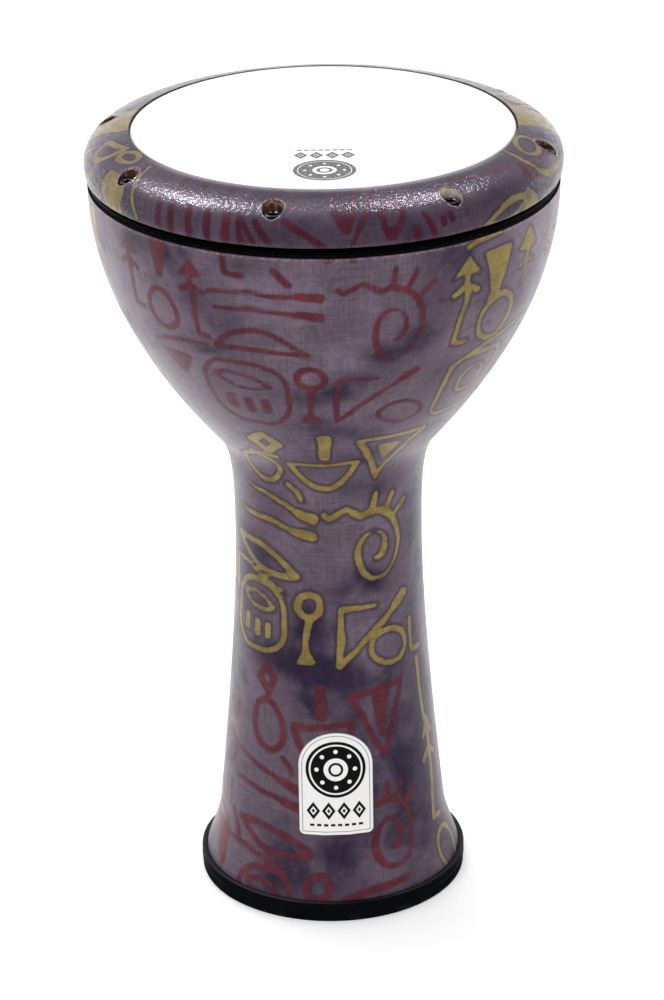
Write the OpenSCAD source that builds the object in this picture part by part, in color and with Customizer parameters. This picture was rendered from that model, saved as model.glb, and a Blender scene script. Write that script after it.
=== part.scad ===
// Goblet hand drum (darbuka) with bolt-tuned head.
// Millimetres, +Z up, origin at the centre of the foot's resting face.
// The player's side of the drum faces -Y.

/* [Overall] */
// Height from the floor to the playing surface
total_h = 457; // [452:1:462]
// Thickness of the printed fabric skin and its lacquer
wrap_t = 0.6; // [0.4:0.1:1.0]
// Wall thickness of the shell under the skin
wall_t = 6; // [5:0.5:7]

/* [Stem and foot] */
// Outer radius of the skin where the foot ring grips it
foot_r = 74.4; // [72:0.2:76]
// Outer radius at the bottom of the straight stem
stem_r = 65.2; // [63:0.2:67]
// Height at which the foot flare ends and the stem begins
stem_z = 46; // [42:1:50]
// Outer radius of the narrowest part of the stem
neck_r = 53.3; // [51:0.1:55]
// Height of the narrowest part of the stem
neck_z = 222; // [215:1:228]
// Outer radius of the black rubber foot ring
foot_ring_r = 77.6; // [77:0.2:80]
// Height of the foot ring
foot_ring_h = 12.2; // [12:0.1:16]

/* [Bowl] */
// Outer radius where the neck's fillet meets the bowl
throat_r = 63; // [61:0.5:65]
// Height where the neck's fillet meets the bowl
throat_z = 279; // [275:1:283]
// Outer radius of the bowl at its top edge
bowl_r = 130; // [129:0.2:131]
// Height of the bowl's top edge
bowl_z = 428; // [427:0.5:428]
// Height of the thick rim inside the top of the bowl
rim_h = 18; // [17:0.5:20]
// Inner radius of the thick rim
rim_in_r = 112; // [110:0.5:113]

/* [Bearing rim] */
// Thickness of the black flange that shows at the seam
flange_t = 2.2; // [1.8:0.1:2.4]
// Outer radius of the collar that carries the head
collar_r = 104; // [103.8:0.1:104.1]
// Wall thickness of that collar
collar_t = 5.6; // [5:0.2:7]

/* [Head] */
// Thickness of the drumhead film
film_t = 0.25; // [0.2:0.05:0.3]
// Outer radius of the film's turned-down skirt
skirt_r = 105.75; // [105.7:0.05:105.8]
// Outer radius of the flesh hoop
hoop_r = 109; // [108.6:0.1:109.2]

/* [Tuning ring] */
// Radius of the opening that frames the playing surface
ring_in_r = 106.4; // [106.3:0.1:106.6]
// Outer radius of the ring at its lower edge
ring_out_r = 130.8; // [130:0.2:131.4]
// Height of the ring's lower edge in the tuned position
ring_z = 432.5; // [432.5:0.1:433]

/* [Tuning hardware] */
// Number of tuning bolts; the node list below holds eight
bolt_count = 8; // [8:1:8]
// Radius of the circle that the bolts stand on
bolt_circle_r = 123; // [122:0.2:123.4]
// Angle of the first bolt about +Z
bolt_angle = 257.5; // [245:0.5:270]
// Radius of the counterbored hole over each bolt
bore_r = 5.75; // [5.6:0.05:5.9]
// Shank radius of the bolt
shank_r = 2.95; // [2.9:0.01:2.97]
// Height of the counterbore's seat
seat_z = 441; // [440:0.5:442]

/* [Badge] */
// Width of the badge
badge_w = 42.6; // [36:0.2:44]
// Height of the badge
badge_h = 63; // [56:1:66]
// Height of the badge's centre
badge_z = 81.6; // [79:0.1:84]
// Angle of the badge about +Z
badge_angle = 272; // [260:0.5:280]

/* [Hidden] */
$fn = 96;

over = 1;                             // how far a cutter runs past the face it opens
foot_floor = 3;                       // rubber under the shell's lower edge
foot_grip_z = 12;                     // the shell stands straight below this height
flange_z = bowl_z + flange_t;         // top of the bearing rim's flange
crest_z = total_h - film_t;           // top of the bearing edge
hoop_top = ring_z + 13.5;             // where the ring presses on the hoop
hoop_bot = ring_z + 0.5;
ring_lip_z = total_h - 0.3;           // top of the tuning ring, at its opening
clear_hole_r = shank_r + 0.45;        // bolt holes in the shell and bearing rim
insert_r = 4.2;
insert_h = 13;
washer_t = 1.6;

// Outer profile of the drum body, from the foot to the seam:
// four cubic curves, each of four [radius, height] control points
flare = [
    [foot_r, foot_grip_z], [foot_r - 2.4, foot_grip_z + 9],
    [stem_r + 1.4, stem_z - 16], [stem_r, stem_z]];
stem = [
    [stem_r, stem_z], [stem_r - 2.6, stem_z + 29],
    [neck_r - 0.3, neck_z - 62], [neck_r, neck_z]];
fillet = [
    [neck_r, neck_z], [neck_r - 0.1, neck_z + 30],
    [throat_r - 8.1, throat_z - 9.5], [throat_r, throat_z]];
bowl = [
    [throat_r, throat_z], [throat_r + 22.95, throat_z + 27],
    [bowl_r + 1, bowl_z - 66], [bowl_r, bowl_z]];

// Outer profile of the tuning ring, from its lower edge to its opening
ring_curve = [
    [ring_out_r, ring_z], [ring_out_r + 4.9, ring_z + 18.3],
    [ring_in_r + 11.9, total_h - 2.5], [ring_in_r, ring_lip_z]];

// Point at t (0 to 1) on the cubic curve with control points c, and the tangent there
function curve_point(c, t) =
    pow(1 - t, 3) * c[0] + 3 * pow(1 - t, 2) * t * c[1] + 3 * (1 - t) * t * t * c[2]
    + pow(t, 3) * c[3];
function curve_tangent(c, t) =
    3 * pow(1 - t, 2) * (c[1] - c[0]) + 6 * (1 - t) * t * (c[2] - c[1])
    + 3 * t * t * (c[3] - c[2]);
// Point at t, moved in along the normal
function inset_point(c, t, inset) =
    let (tangent = curve_tangent(c, t))
    curve_point(c, t) - inset * [tangent[1], -tangent[0]] / norm(tangent);
// Inset points at even steps of t, leaving out the curve's end
function inset_run(c, steps, inset, first = 0) =
    [for (i = [first:steps - 1]) inset_point(c, i / steps, inset)];

function flip(points) = [for (i = [len(points) - 1:-1:0]) points[i]];
// Quarter circle from the outward direction to the upward one
function quarter(centre, radius) =
    [for (a = [0:10:90]) centre + radius * [cos(a), sin(a)]];

// Body profile moved in by inset, from the foot upwards
function body_path(inset) = concat(
    [[foot_r - inset, foot_floor]],
    inset_run(flare, 12, inset),
    inset_run(stem, 18, inset),
    inset_run(fillet, 16, inset),
    inset_run(bowl, 30, inset),
    [[bowl_r - inset, bowl_z]]);
// Tuning ring profile moved in by inset, from its lower edge upwards
function ring_path(inset) = concat(
    [[ring_out_r - inset, ring_z]],
    inset_run(ring_curve, 32, inset, first = 1),
    [[ring_in_r, ring_lip_z - inset]]);

// Places its children on the axis of tuning bolt k
module at_bolt(k) {
    rotate([0, 0, bolt_angle + 360 / bolt_count * (k - 1)])
        translate([bolt_circle_r, 0, 0]) children();
}

// Cutters on all the bolt axes, rising from height z
module bolt_holes(radius, z, height) {
    for (k = [1:bolt_count])
        at_bolt(k) translate([0, 0, z]) cylinder(r = radius, h = height);
}

// Counterbores over the bolts, open at the top
module counterbores() {
    bolt_holes(bore_r, seat_z, 30);
}

// Moulded composite body: stem, bowl and the thick rim that holds the inserts
module shell() {
    rim_bot = bowl_z - rim_h;
    taper_z = rim_bot - 16; // the rim tapers into the wall down to this height
    insert_z = bowl_z - insert_h;
    inner_wall = [for (p = body_path(wrap_t + wall_t)) if (p[1] < taper_z) p];
    color("tan") difference() {
        rotate_extrude() polygon(concat(
            body_path(wrap_t),
            [[rim_in_r, bowl_z], [rim_in_r, rim_bot]],
            flip(inner_wall)));
        bolt_holes(insert_r, insert_z, insert_h + over);
        // Narrower hole that goes 2 deeper than the insert
        bolt_holes(clear_hole_r, insert_z - 2, insert_h);
    }
}

// Printed fabric skin, lacquered onto the shell
module shell_wrap() {
    color("slategray") rotate_extrude()
        polygon(concat(body_path(0), flip(body_path(wrap_t))));
}

// Black moulded rim: flange at the seam, spigot inside the bowl, collar with the bearing edge
module bearing_rim() {
    flange_r = bowl_r - wrap_t;
    root = 1.2;    // chamfer between flange and collar
    round_r = 2.6; // rounding outside the crest
    collar_in = collar_r - collar_t;
    crest_in = collar_r - round_r - 1;
    spigot_out = rim_in_r - 0.2;
    spigot_in = rim_in_r - 4.4;
    spigot_bot = bowl_z - 10;
    spigot_bevel = 0.6;
    web_bot = bowl_z - 2; // underside between spigot and collar
    color("black") difference() {
        rotate_extrude() polygon(concat(
            [[flange_r, bowl_z], [flange_r, flange_z],
             [collar_r + root, flange_z], [collar_r, flange_z + root]],
            quarter([collar_r - round_r, crest_z - round_r], round_r),
            [[crest_in, crest_z], [collar_in, crest_z - (crest_in - collar_in)],
             [collar_in, web_bot], [spigot_in, web_bot], [spigot_in, spigot_bot],
             [spigot_out - spigot_bevel, spigot_bot],
             [spigot_out, spigot_bot + spigot_bevel], [spigot_out, bowl_z]]));
        bolt_holes(clear_hole_r, bowl_z - over, flange_t + 2 * over);
    }
}

// Clear-coated white film: flat playing surface with a turned-down skirt
module drumhead() {
    bend_r = 2.75;
    bend_centre = [skirt_r - bend_r, total_h - bend_r];
    skirt_bot = hoop_bot + 5.3;
    color("white") rotate_extrude() polygon(concat(
        [[0, total_h]],
        flip(quarter(bend_centre, bend_r)),
        [[skirt_r, skirt_bot], [skirt_r - film_t, skirt_bot]],
        quarter(bend_centre, bend_r - film_t),
        [[0, crest_z]]));
}

// Aluminium channel that holds the film's edge
module flesh_hoop() {
    hoop_in = collar_r + 0.4;
    bevel = 0.5;
    top_bevel = 0.3; // on the inner top corner
    slot_in = skirt_r - film_t - 0.2;
    slot_out = skirt_r + 0.35;
    slot_floor = hoop_bot + 0.9;
    color("silver") rotate_extrude() polygon([
        [hoop_in + bevel, hoop_bot], [hoop_r - bevel, hoop_bot],
        [hoop_r, hoop_bot + bevel], [hoop_r, hoop_top - bevel], [hoop_r - bevel, hoop_top],
        [slot_out, hoop_top], [slot_out, slot_floor], [slot_in, slot_floor], [slot_in, hoop_top],
        [hoop_in + top_bevel, hoop_top], [hoop_in, hoop_top - top_bevel],
        [hoop_in, hoop_bot + bevel]]);
}

// Rounded ring that pulls the hoop down over the bearing edge
module tuning_ring() {
    recess_r = hoop_r + 0.4; // room for the hoop
    color("tan") difference() {
        rotate_extrude() polygon(concat(
            ring_path(wrap_t),
            [[ring_in_r, hoop_top], [recess_r, hoop_top], [recess_r, ring_z]]));
        counterbores();
        bolt_holes(shank_r + 0.35, ring_z - over, 30);
    }
}

// Printed fabric skin of the tuning ring, cut out over each bolt
module ring_wrap() {
    color("slategray") difference() {
        rotate_extrude() polygon(concat(ring_path(0), flip(ring_path(wrap_t))));
        counterbores();
    }
}

// Black rubber channel pushed over the shell's lower edge, with small bevels at its corners
module foot_ring() {
    groove_in = foot_r - wrap_t - wall_t;
    inner_r = groove_in - 2.6;
    inner_h = 11; // height of the channel's inner wall
    color("black") rotate_extrude() polygon([
        [inner_r + 0.8, 0], [foot_ring_r - 1.2, 0],
        [foot_ring_r - 0.3, 0.9], [foot_ring_r, foot_ring_h - 1],
        [foot_ring_r - 0.3, foot_ring_h - 0.3], [foot_ring_r - 1, foot_ring_h],
        [foot_r, foot_ring_h], [foot_r, foot_floor], [groove_in, foot_floor],
        [groove_in, inner_h - 1], [groove_in - 0.8, inner_h],
        [inner_r + 0.6, inner_h], [inner_r, inner_h - 0.6], [inner_r, 0.8]]);
}

// Outline of the badge: round-topped arch with rounded bottom corners, centred
module badge_outline() {
    arch_r = badge_w / 2;
    corner_r = 3;
    bottom = -badge_h / 2;
    translate([0, badge_h / 2 - arch_r]) circle(r = arch_r);
    translate([-arch_r, bottom + corner_r]) square([badge_w, badge_h - arch_r - corner_r]);
    translate([-arch_r + corner_r, bottom]) square([badge_w - 2 * corner_r, corner_r + over]);
    for (side = [-1, 1])
        translate([side * (arch_r - corner_r), bottom + corner_r]) circle(r = corner_r);
}

// Thin label plate, curved to the stem
module badge() {
    thickness = 0.8;
    steps = 12;
    stem_share = 0.62; // value of t on the stem's curve, above the badge's top
    ts = [for (i = [0:steps]) i / steps * stem_share];
    inner = [for (t = ts) inset_point(stem, t, 0)];
    outer = [for (t = ts) inset_point(stem, t, -thickness)];
    color("white") intersection() {
        rotate_extrude() polygon(concat(inner, flip(outer)));
        // Block of the badge's outline, from inside the stem out past its surface
        rotate([0, 0, badge_angle]) translate([30, 0, badge_z]) rotate([90, 0, 90])
            linear_extrude(height = 60) badge_outline();
    }
}

// M6 socket-head tuning bolt number k
module tuning_bolt(k) {
    head_z = seat_z + washer_t;
    head_r = 5;
    head_h = 6;
    head_bevel = 0.5;
    shank_len = 25;
    tip_h = 1;
    tip_r = shank_r - 0.8;
    socket_flats = 5; // across flats
    socket_depth = 3;
    bevel_z = head_z + head_h - head_bevel;
    tip_z = head_z - shank_len;
    color("dimgray") at_bolt(k) difference() {
        union() {
            translate([0, 0, head_z]) cylinder(r = head_r, h = head_h - head_bevel);
            translate([0, 0, bevel_z])
                cylinder(r1 = head_r, r2 = head_r - head_bevel, h = head_bevel);
            // The shank runs up into the head
            translate([0, 0, tip_z + tip_h]) cylinder(r = shank_r, h = shank_len);
            translate([0, 0, tip_z]) cylinder(r1 = tip_r, r2 = shank_r, h = tip_h);
        }
        translate([0, 0, head_z + head_h - socket_depth])
            cylinder(r = socket_flats / 2 / cos(30), h = socket_depth + over, $fn = 6);
    }
}

// Washer under bolt k's head
module bolt_washer(k) {
    color("silver") at_bolt(k) translate([0, 0, seat_z]) difference() {
        cylinder(r = 5.5, h = washer_t);
        translate([0, 0, -over]) cylinder(r = shank_r + 0.25, h = washer_t + 2 * over);
    }
}

// Threaded brass insert that bolt k screws into, with two grooves around it
module thread_insert(k) {
    groove_zs = [3.2, 7.4];
    groove_w = 1.6;
    groove_depth = 0.6;
    color("goldenrod") at_bolt(k) translate([0, 0, bowl_z - insert_h]) difference() {
        cylinder(r = insert_r, h = insert_h);
        translate([0, 0, -over]) cylinder(r = shank_r + 0.05, h = insert_h + 2 * over);
        for (z = groove_zs) translate([0, 0, z]) difference() {
            cylinder(r = insert_r + over, h = groove_w);
            translate([0, 0, -over]) cylinder(r = insert_r - groove_depth, h = 4);
        }
    }
}

shell();
shell_wrap();
bearing_rim();
drumhead();
flesh_hoop();
tuning_ring();
ring_wrap();
foot_ring();
badge();
tuning_bolt(1);  // tuning_bolt_1
tuning_bolt(2);  // tuning_bolt_2
tuning_bolt(3);  // tuning_bolt_3
tuning_bolt(4);  // tuning_bolt_4
tuning_bolt(5);  // tuning_bolt_5
tuning_bolt(6);  // tuning_bolt_6
tuning_bolt(7);  // tuning_bolt_7
tuning_bolt(8);  // tuning_bolt_8
bolt_washer(1);  // bolt_washer_1
bolt_washer(2);  // bolt_washer_2
bolt_washer(3);  // bolt_washer_3
bolt_washer(4);  // bolt_washer_4
bolt_washer(5);  // bolt_washer_5
bolt_washer(6);  // bolt_washer_6
bolt_washer(7);  // bolt_washer_7
bolt_washer(8);  // bolt_washer_8
thread_insert(1);  // thread_insert_1
thread_insert(2);  // thread_insert_2
thread_insert(3);  // thread_insert_3
thread_insert(4);  // thread_insert_4
thread_insert(5);  // thread_insert_5
thread_insert(6);  // thread_insert_6
thread_insert(7);  // thread_insert_7
thread_insert(8);  // thread_insert_8
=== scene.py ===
import math

import bpy
import numpy as np
from mathutils import Matrix, Vector


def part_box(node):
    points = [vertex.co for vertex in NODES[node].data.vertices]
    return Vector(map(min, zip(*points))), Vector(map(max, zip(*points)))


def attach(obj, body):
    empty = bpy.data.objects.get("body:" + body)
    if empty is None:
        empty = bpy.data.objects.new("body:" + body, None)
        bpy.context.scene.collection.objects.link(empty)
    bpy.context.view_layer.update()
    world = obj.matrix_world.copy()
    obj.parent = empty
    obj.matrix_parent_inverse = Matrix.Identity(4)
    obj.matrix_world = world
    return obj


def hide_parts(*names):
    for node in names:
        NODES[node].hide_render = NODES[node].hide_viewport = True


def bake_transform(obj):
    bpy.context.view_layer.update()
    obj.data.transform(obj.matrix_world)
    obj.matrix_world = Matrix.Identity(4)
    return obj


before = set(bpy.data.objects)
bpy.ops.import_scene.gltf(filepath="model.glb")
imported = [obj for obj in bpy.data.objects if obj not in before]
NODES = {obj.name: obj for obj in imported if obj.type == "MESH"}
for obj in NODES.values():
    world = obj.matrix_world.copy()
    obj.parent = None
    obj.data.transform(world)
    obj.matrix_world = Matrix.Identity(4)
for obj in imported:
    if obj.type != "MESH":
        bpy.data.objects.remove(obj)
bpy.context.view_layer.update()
MM = 0.001

# ---------------------------------------------------------------- design sizes, in millimetres
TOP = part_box("drumhead")[1].z / MM
SKIN_T = 0.6
FLARE = [(74.4, 12.0), (72.0, 21.0), (66.6, 30.0), (65.2, 46.0)]
STEM = [(65.2, 46.0), (62.6, 75.0), (53.0, 160.0), (53.3, 222.0)]
FILLET = [(53.3, 222.0), (53.2, 252.0), (54.9, 269.5), (63.0, 279.0)]
BOWL = [(63.0, 279.0), (85.95, 306.0), (131.0, 362.0), (130.0, 428.0)]
RING = [(130.8, 432.5), (135.7, 450.8), (118.3, 454.5), (106.4, 456.7)]
BOLT_R, BOLT_A, BOLTS = 123.0, 257.5, 8
BORE_R = 5.75
SEAT_Z, WASHER_T = 441.0, 1.6
BADGE = dict(w=42.6, h=63.0, z=81.6, a=272.0, r=3.0, t=0.8)
RUBBER_R, RUBBER_H = 77.6, 12.2

assert abs(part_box("shell_wrap")[1].z - 0.428) < 1e-4 and abs(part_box("ring_wrap")[0].z - 0.4325) < 1e-4
assert abs(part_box("foot_ring")[1].x - RUBBER_R * MM) < 2e-4


def bez(p, t):
    p = np.array(p, float)
    t = np.asarray(t, float)[:, None]
    return (1 - t) ** 3 * p[0] + 3 * (1 - t) ** 2 * t * p[1] + 3 * (1 - t) * t * t * p[2] + t ** 3 * p[3]


def smooth(x, a, b):
    t = np.clip((x - a) / (b - a), 0, 1)
    return t * t * (3 - 2 * t)


class Curve:
    """Profile line with arc length s, in millimetres, and its outward normals."""

    def __init__(self, pts):
        keep = [0] + [i for i in range(1, len(pts)) if np.hypot(*(pts[i] - pts[i - 1])) > 1e-9]
        self.p = pts[keep]
        self.s = np.concatenate([[0], np.cumsum(np.hypot(*np.diff(self.p, axis=0).T))])
        d = np.gradient(self.p, self.s, axis=0)
        d /= np.linalg.norm(d, axis=1)[:, None]
        self.n = np.stack([d[:, 1], -d[:, 0]], 1)
        self.length = self.s[-1]

    def at(self, s):
        return np.stack([np.interp(s, self.s, self.p[:, k]) for k in (0, 1)], -1)

    def normal(self, s):
        n = np.stack([np.interp(s, self.s, self.n[:, k]) for k in (0, 1)], -1)
        return n / np.linalg.norm(n, axis=-1, keepdims=True)


T = np.linspace(0, 1, 400)
BODY = Curve(np.concatenate([[[74.4, 3.0], [74.4, 7.0]]] + [bez(c, T) for c in (FLARE, STEM, FILLET, BOWL)]))
RINGC = Curve(bez(RING, np.linspace(0, 1, 1500)))


# ---------------------------------------------------------------- smooth noise for vertex work
def _hash(ix, iy, iz, seed):
    h = (ix * 374761393 + iy * 668265263 + iz * 2147483647 + seed * 974634777) & 0xFFFFFFFF
    h = ((h ^ (h >> 13)) * 1274126177) & 0xFFFFFFFF
    h = h ^ (h >> 16)
    return (h & 0xFFFF).astype(np.float64) / 65535.0


def vnoise(p, scale, seed=0):
    """Value noise from 0 to 1 at points p (n, 3), with cells of size scale."""
    q = np.asarray(p, float) / scale + 1000.0
    i = np.floor(q).astype(np.int64)
    f = q - i
    f = f * f * (3 - 2 * f)
    out = 0
    for dx in (0, 1):
        for dy in (0, 1):
            for dz in (0, 1):
                w = (f[:, 0] if dx else 1 - f[:, 0]) * (f[:, 1] if dy else 1 - f[:, 1]) * (f[:, 2] if dz else 1 - f[:, 2])
                out = out + w * _hash(i[:, 0] + dx, i[:, 1] + dy, i[:, 2] + dz, seed)
    return out


# ---------------------------------------------------------------- meshes
def new_mesh(name, verts, faces, sharp=35.0):
    me = bpy.data.meshes.new(name)
    me.from_pydata(np.asarray(verts, float).tolist(), [], faces if isinstance(faces, list) else faces.tolist())
    me.validate(verbose=False)
    me.polygons.foreach_set("use_smooth", np.ones(len(me.polygons), bool))
    if sharp:
        me.set_sharp_from_angle(angle=math.radians(sharp))
    ob = bpy.data.objects.new(name, me)
    bpy.context.scene.collection.objects.link(ob)
    return ob


def grid_faces(rows, cols, wrap_cols=True, wrap_rows=False, base=0):
    r = np.arange(rows if wrap_rows else rows - 1)
    c = np.arange(cols if wrap_cols else cols - 1)
    R, C = np.meshgrid(r, c, indexing="ij")
    R2, C2 = (R + 1) % rows, (C + 1) % cols
    f = np.stack([R * cols + C, R * cols + C2, R2 * cols + C2, R2 * cols + C], -1).reshape(-1, 4)
    return f + base


def lathe(name, prof, cols, closed=True, wobble=None, sharp=35.0):
    """Solid of revolution of a profile [(r, z)] in millimetres, walked so that its outside is on the right when going up."""
    prof = np.array(prof, float)
    th = np.arange(cols) * 2 * math.pi / cols
    r = np.repeat(prof[:, :1], cols, 1)
    z = np.repeat(prof[:, 1:], cols, 1)
    if wobble is not None:
        dr, dz = wobble(r, z, np.repeat(th[None], len(prof), 0))
        r, z = r + dr, z + dz
    v = np.stack([r * np.cos(th), r * np.sin(th), z], -1).reshape(-1, 3) * MM
    return new_mesh(name, v, grid_faces(len(prof), cols, True, closed), sharp)


def fillet_path(pts, steps=4):
    """Rounds the corners of a closed profile [(r, z, radius)]."""
    out = []
    n = len(pts)
    for i in range(n):
        p = np.array(pts[i][:2], float)
        rad = pts[i][2] if len(pts[i]) > 2 else 0
        if not rad:
            out.append(tuple(p))
            continue
        a, b = np.array(pts[i - 1][:2], float), np.array(pts[(i + 1) % n][:2], float)
        u, v = (a - p) / np.linalg.norm(a - p), (b - p) / np.linalg.norm(b - p)
        ang = math.acos(max(-1, min(1, float(u @ v))))
        d = min(rad / math.tan(ang / 2), 0.49 * min(np.linalg.norm(a - p), np.linalg.norm(b - p)))
        s, e = p + u * d, p + v * d
        for k in range(steps + 1):
            t = k / steps
            out.append(tuple((1 - t) ** 2 * s + 2 * t * (1 - t) * p + t * t * e))
    return out


def set_float(ob, name, values):
    a = ob.data.attributes.new(name, "FLOAT", "POINT")
    a.data.foreach_set("value", np.asarray(values, np.float32))


def set_uv(ob, name, per_vertex_uv, wrap_u=None):
    """UV from one pair per vertex. wrap_u is the period that a face across the join needs added."""
    me = ob.data
    n = len(me.loops)
    idx = np.empty(n, np.int32)
    me.loops.foreach_get("vertex_index", idx)
    uv = np.asarray(per_vertex_uv, float)[idx]
    if wrap_u:
        tot = np.empty(len(me.polygons), np.int32)
        me.polygons.foreach_get("loop_total", tot)
        start = np.empty(len(me.polygons), np.int32)
        me.polygons.foreach_get("loop_start", start)
        u = uv[:, 0]
        hi, lo = np.maximum.reduceat(u, start), np.minimum.reduceat(u, start)
        crosses = np.repeat(hi - lo > wrap_u / 2, tot)
        u[crosses & (u < 0)] += wrap_u
    layer = me.uv_layers.new(name=name)
    layer.data.foreach_set("uv", uv.astype(np.float32).ravel())


# ---------------------------------------------------------------- the print: plain line shapes, as signed distances in millimetres
def cap(X, Y, x0, y0, x1, y1, r0, r1=None):
    r1 = r0 if r1 is None else r1
    dx, dy = x1 - x0, y1 - y0
    t = np.clip(((X - x0) * dx + (Y - y0) * dy) / max(dx * dx + dy * dy, 1e-9), 0, 1)
    return np.hypot(X - x0 - t * dx, Y - y0 - t * dy) - (r0 + (r1 - r0) * t)


def line(X, Y, pts, r, closed=False):
    pts = list(pts) + ([pts[0]] if closed else [])
    rr = r if hasattr(r, "__len__") else [r] * len(pts)
    d = np.full(X.shape, 1e3)
    for i in range(len(pts) - 1):
        d = np.minimum(d, cap(X, Y, *pts[i], *pts[i + 1], rr[min(i, len(rr) - 1)], rr[min(i + 1, len(rr) - 1)]))
    return d


def fill(X, Y, pts):
    d = np.full(X.shape, 1e6)
    inside = np.zeros(X.shape, bool)
    n = len(pts)
    for i in range(n):
        (x0, y0), (x1, y1) = pts[i], pts[(i + 1) % n]
        dx, dy = x1 - x0, y1 - y0
        t = np.clip(((X - x0) * dx + (Y - y0) * dy) / max(dx * dx + dy * dy, 1e-9), 0, 1)
        d = np.minimum(d, np.hypot(X - x0 - t * dx, Y - y0 - t * dy))
        c = (y0 > Y) != (y1 > Y)
        with np.errstate(divide="ignore", invalid="ignore"):
            inside ^= c & (X < (x1 - x0) * (Y - y0) / (y1 - y0 if y1 != y0 else 1e-9) + x0)
    return np.where(inside, -d, d)


def oval(cx, cy, a, b, n=30, turn=0.0, t0=0.0, t1=360.0):
    k = math.radians(turn)
    out = []
    for i in range(n + (0 if t1 - t0 >= 360 else 1)):
        t = math.radians(t0 + (t1 - t0) * i / n)
        x, y = a * math.cos(t), b * math.sin(t)
        out.append((cx + x * math.cos(k) - y * math.sin(k), cy + x * math.sin(k) + y * math.cos(k)))
    return out


def lens(cx, cy, a, b, turn=0.0, n=14):
    k = math.radians(turn)
    up = [(-a + 2 * a * i / n, b * (1 - (-1 + 2 * i / n) ** 2)) for i in range(n + 1)]
    pts = up + [(x, -y) for x, y in up[-2:0:-1]]
    return [(cx + x * math.cos(k) - y * math.sin(k), cy + x * math.sin(k) + y * math.cos(k)) for x, y in pts]


def rrect(cx, cy, w, h, r, n=5):
    out = []
    for sx, sy, a0 in ((1, 1, 0), (-1, 1, 90), (-1, -1, 180), (1, -1, 270)):
        for i in range(n + 1):
            a = math.radians(a0 + 90 * i / n)
            out.append((cx + sx * (w / 2 - r) + r * math.cos(a), cy + sy * (h / 2 - r) + r * math.sin(a)))
    return out


def P(pts, w=1.0, closed=False):
    return ("line", list(pts), w, closed)


def F(pts):
    return ("fill", list(pts), 0, True)


def _spiral():
    pts = []
    for i in range(46):
        t = i / 45
        a = math.radians(118 - 560 * t)
        r = 21.5 - 16.5 * t
        pts.append((2 + r * 0.86 * math.cos(a), -2 + r * 1.12 * math.sin(a)))
    ws = [0.85 + 0.3 * math.sin(0.35 * i) for i in range(46)]
    return [P(pts, ws), P([pts[0], (-15, 24), (-25, 19), (-28, 21)], 0.95), P([(0, 24), (1, 31)], 0.95), P([(9, 22), (12, 29)], 0.95), P([(16, 17), (22, 22)], 0.95)]


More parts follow.
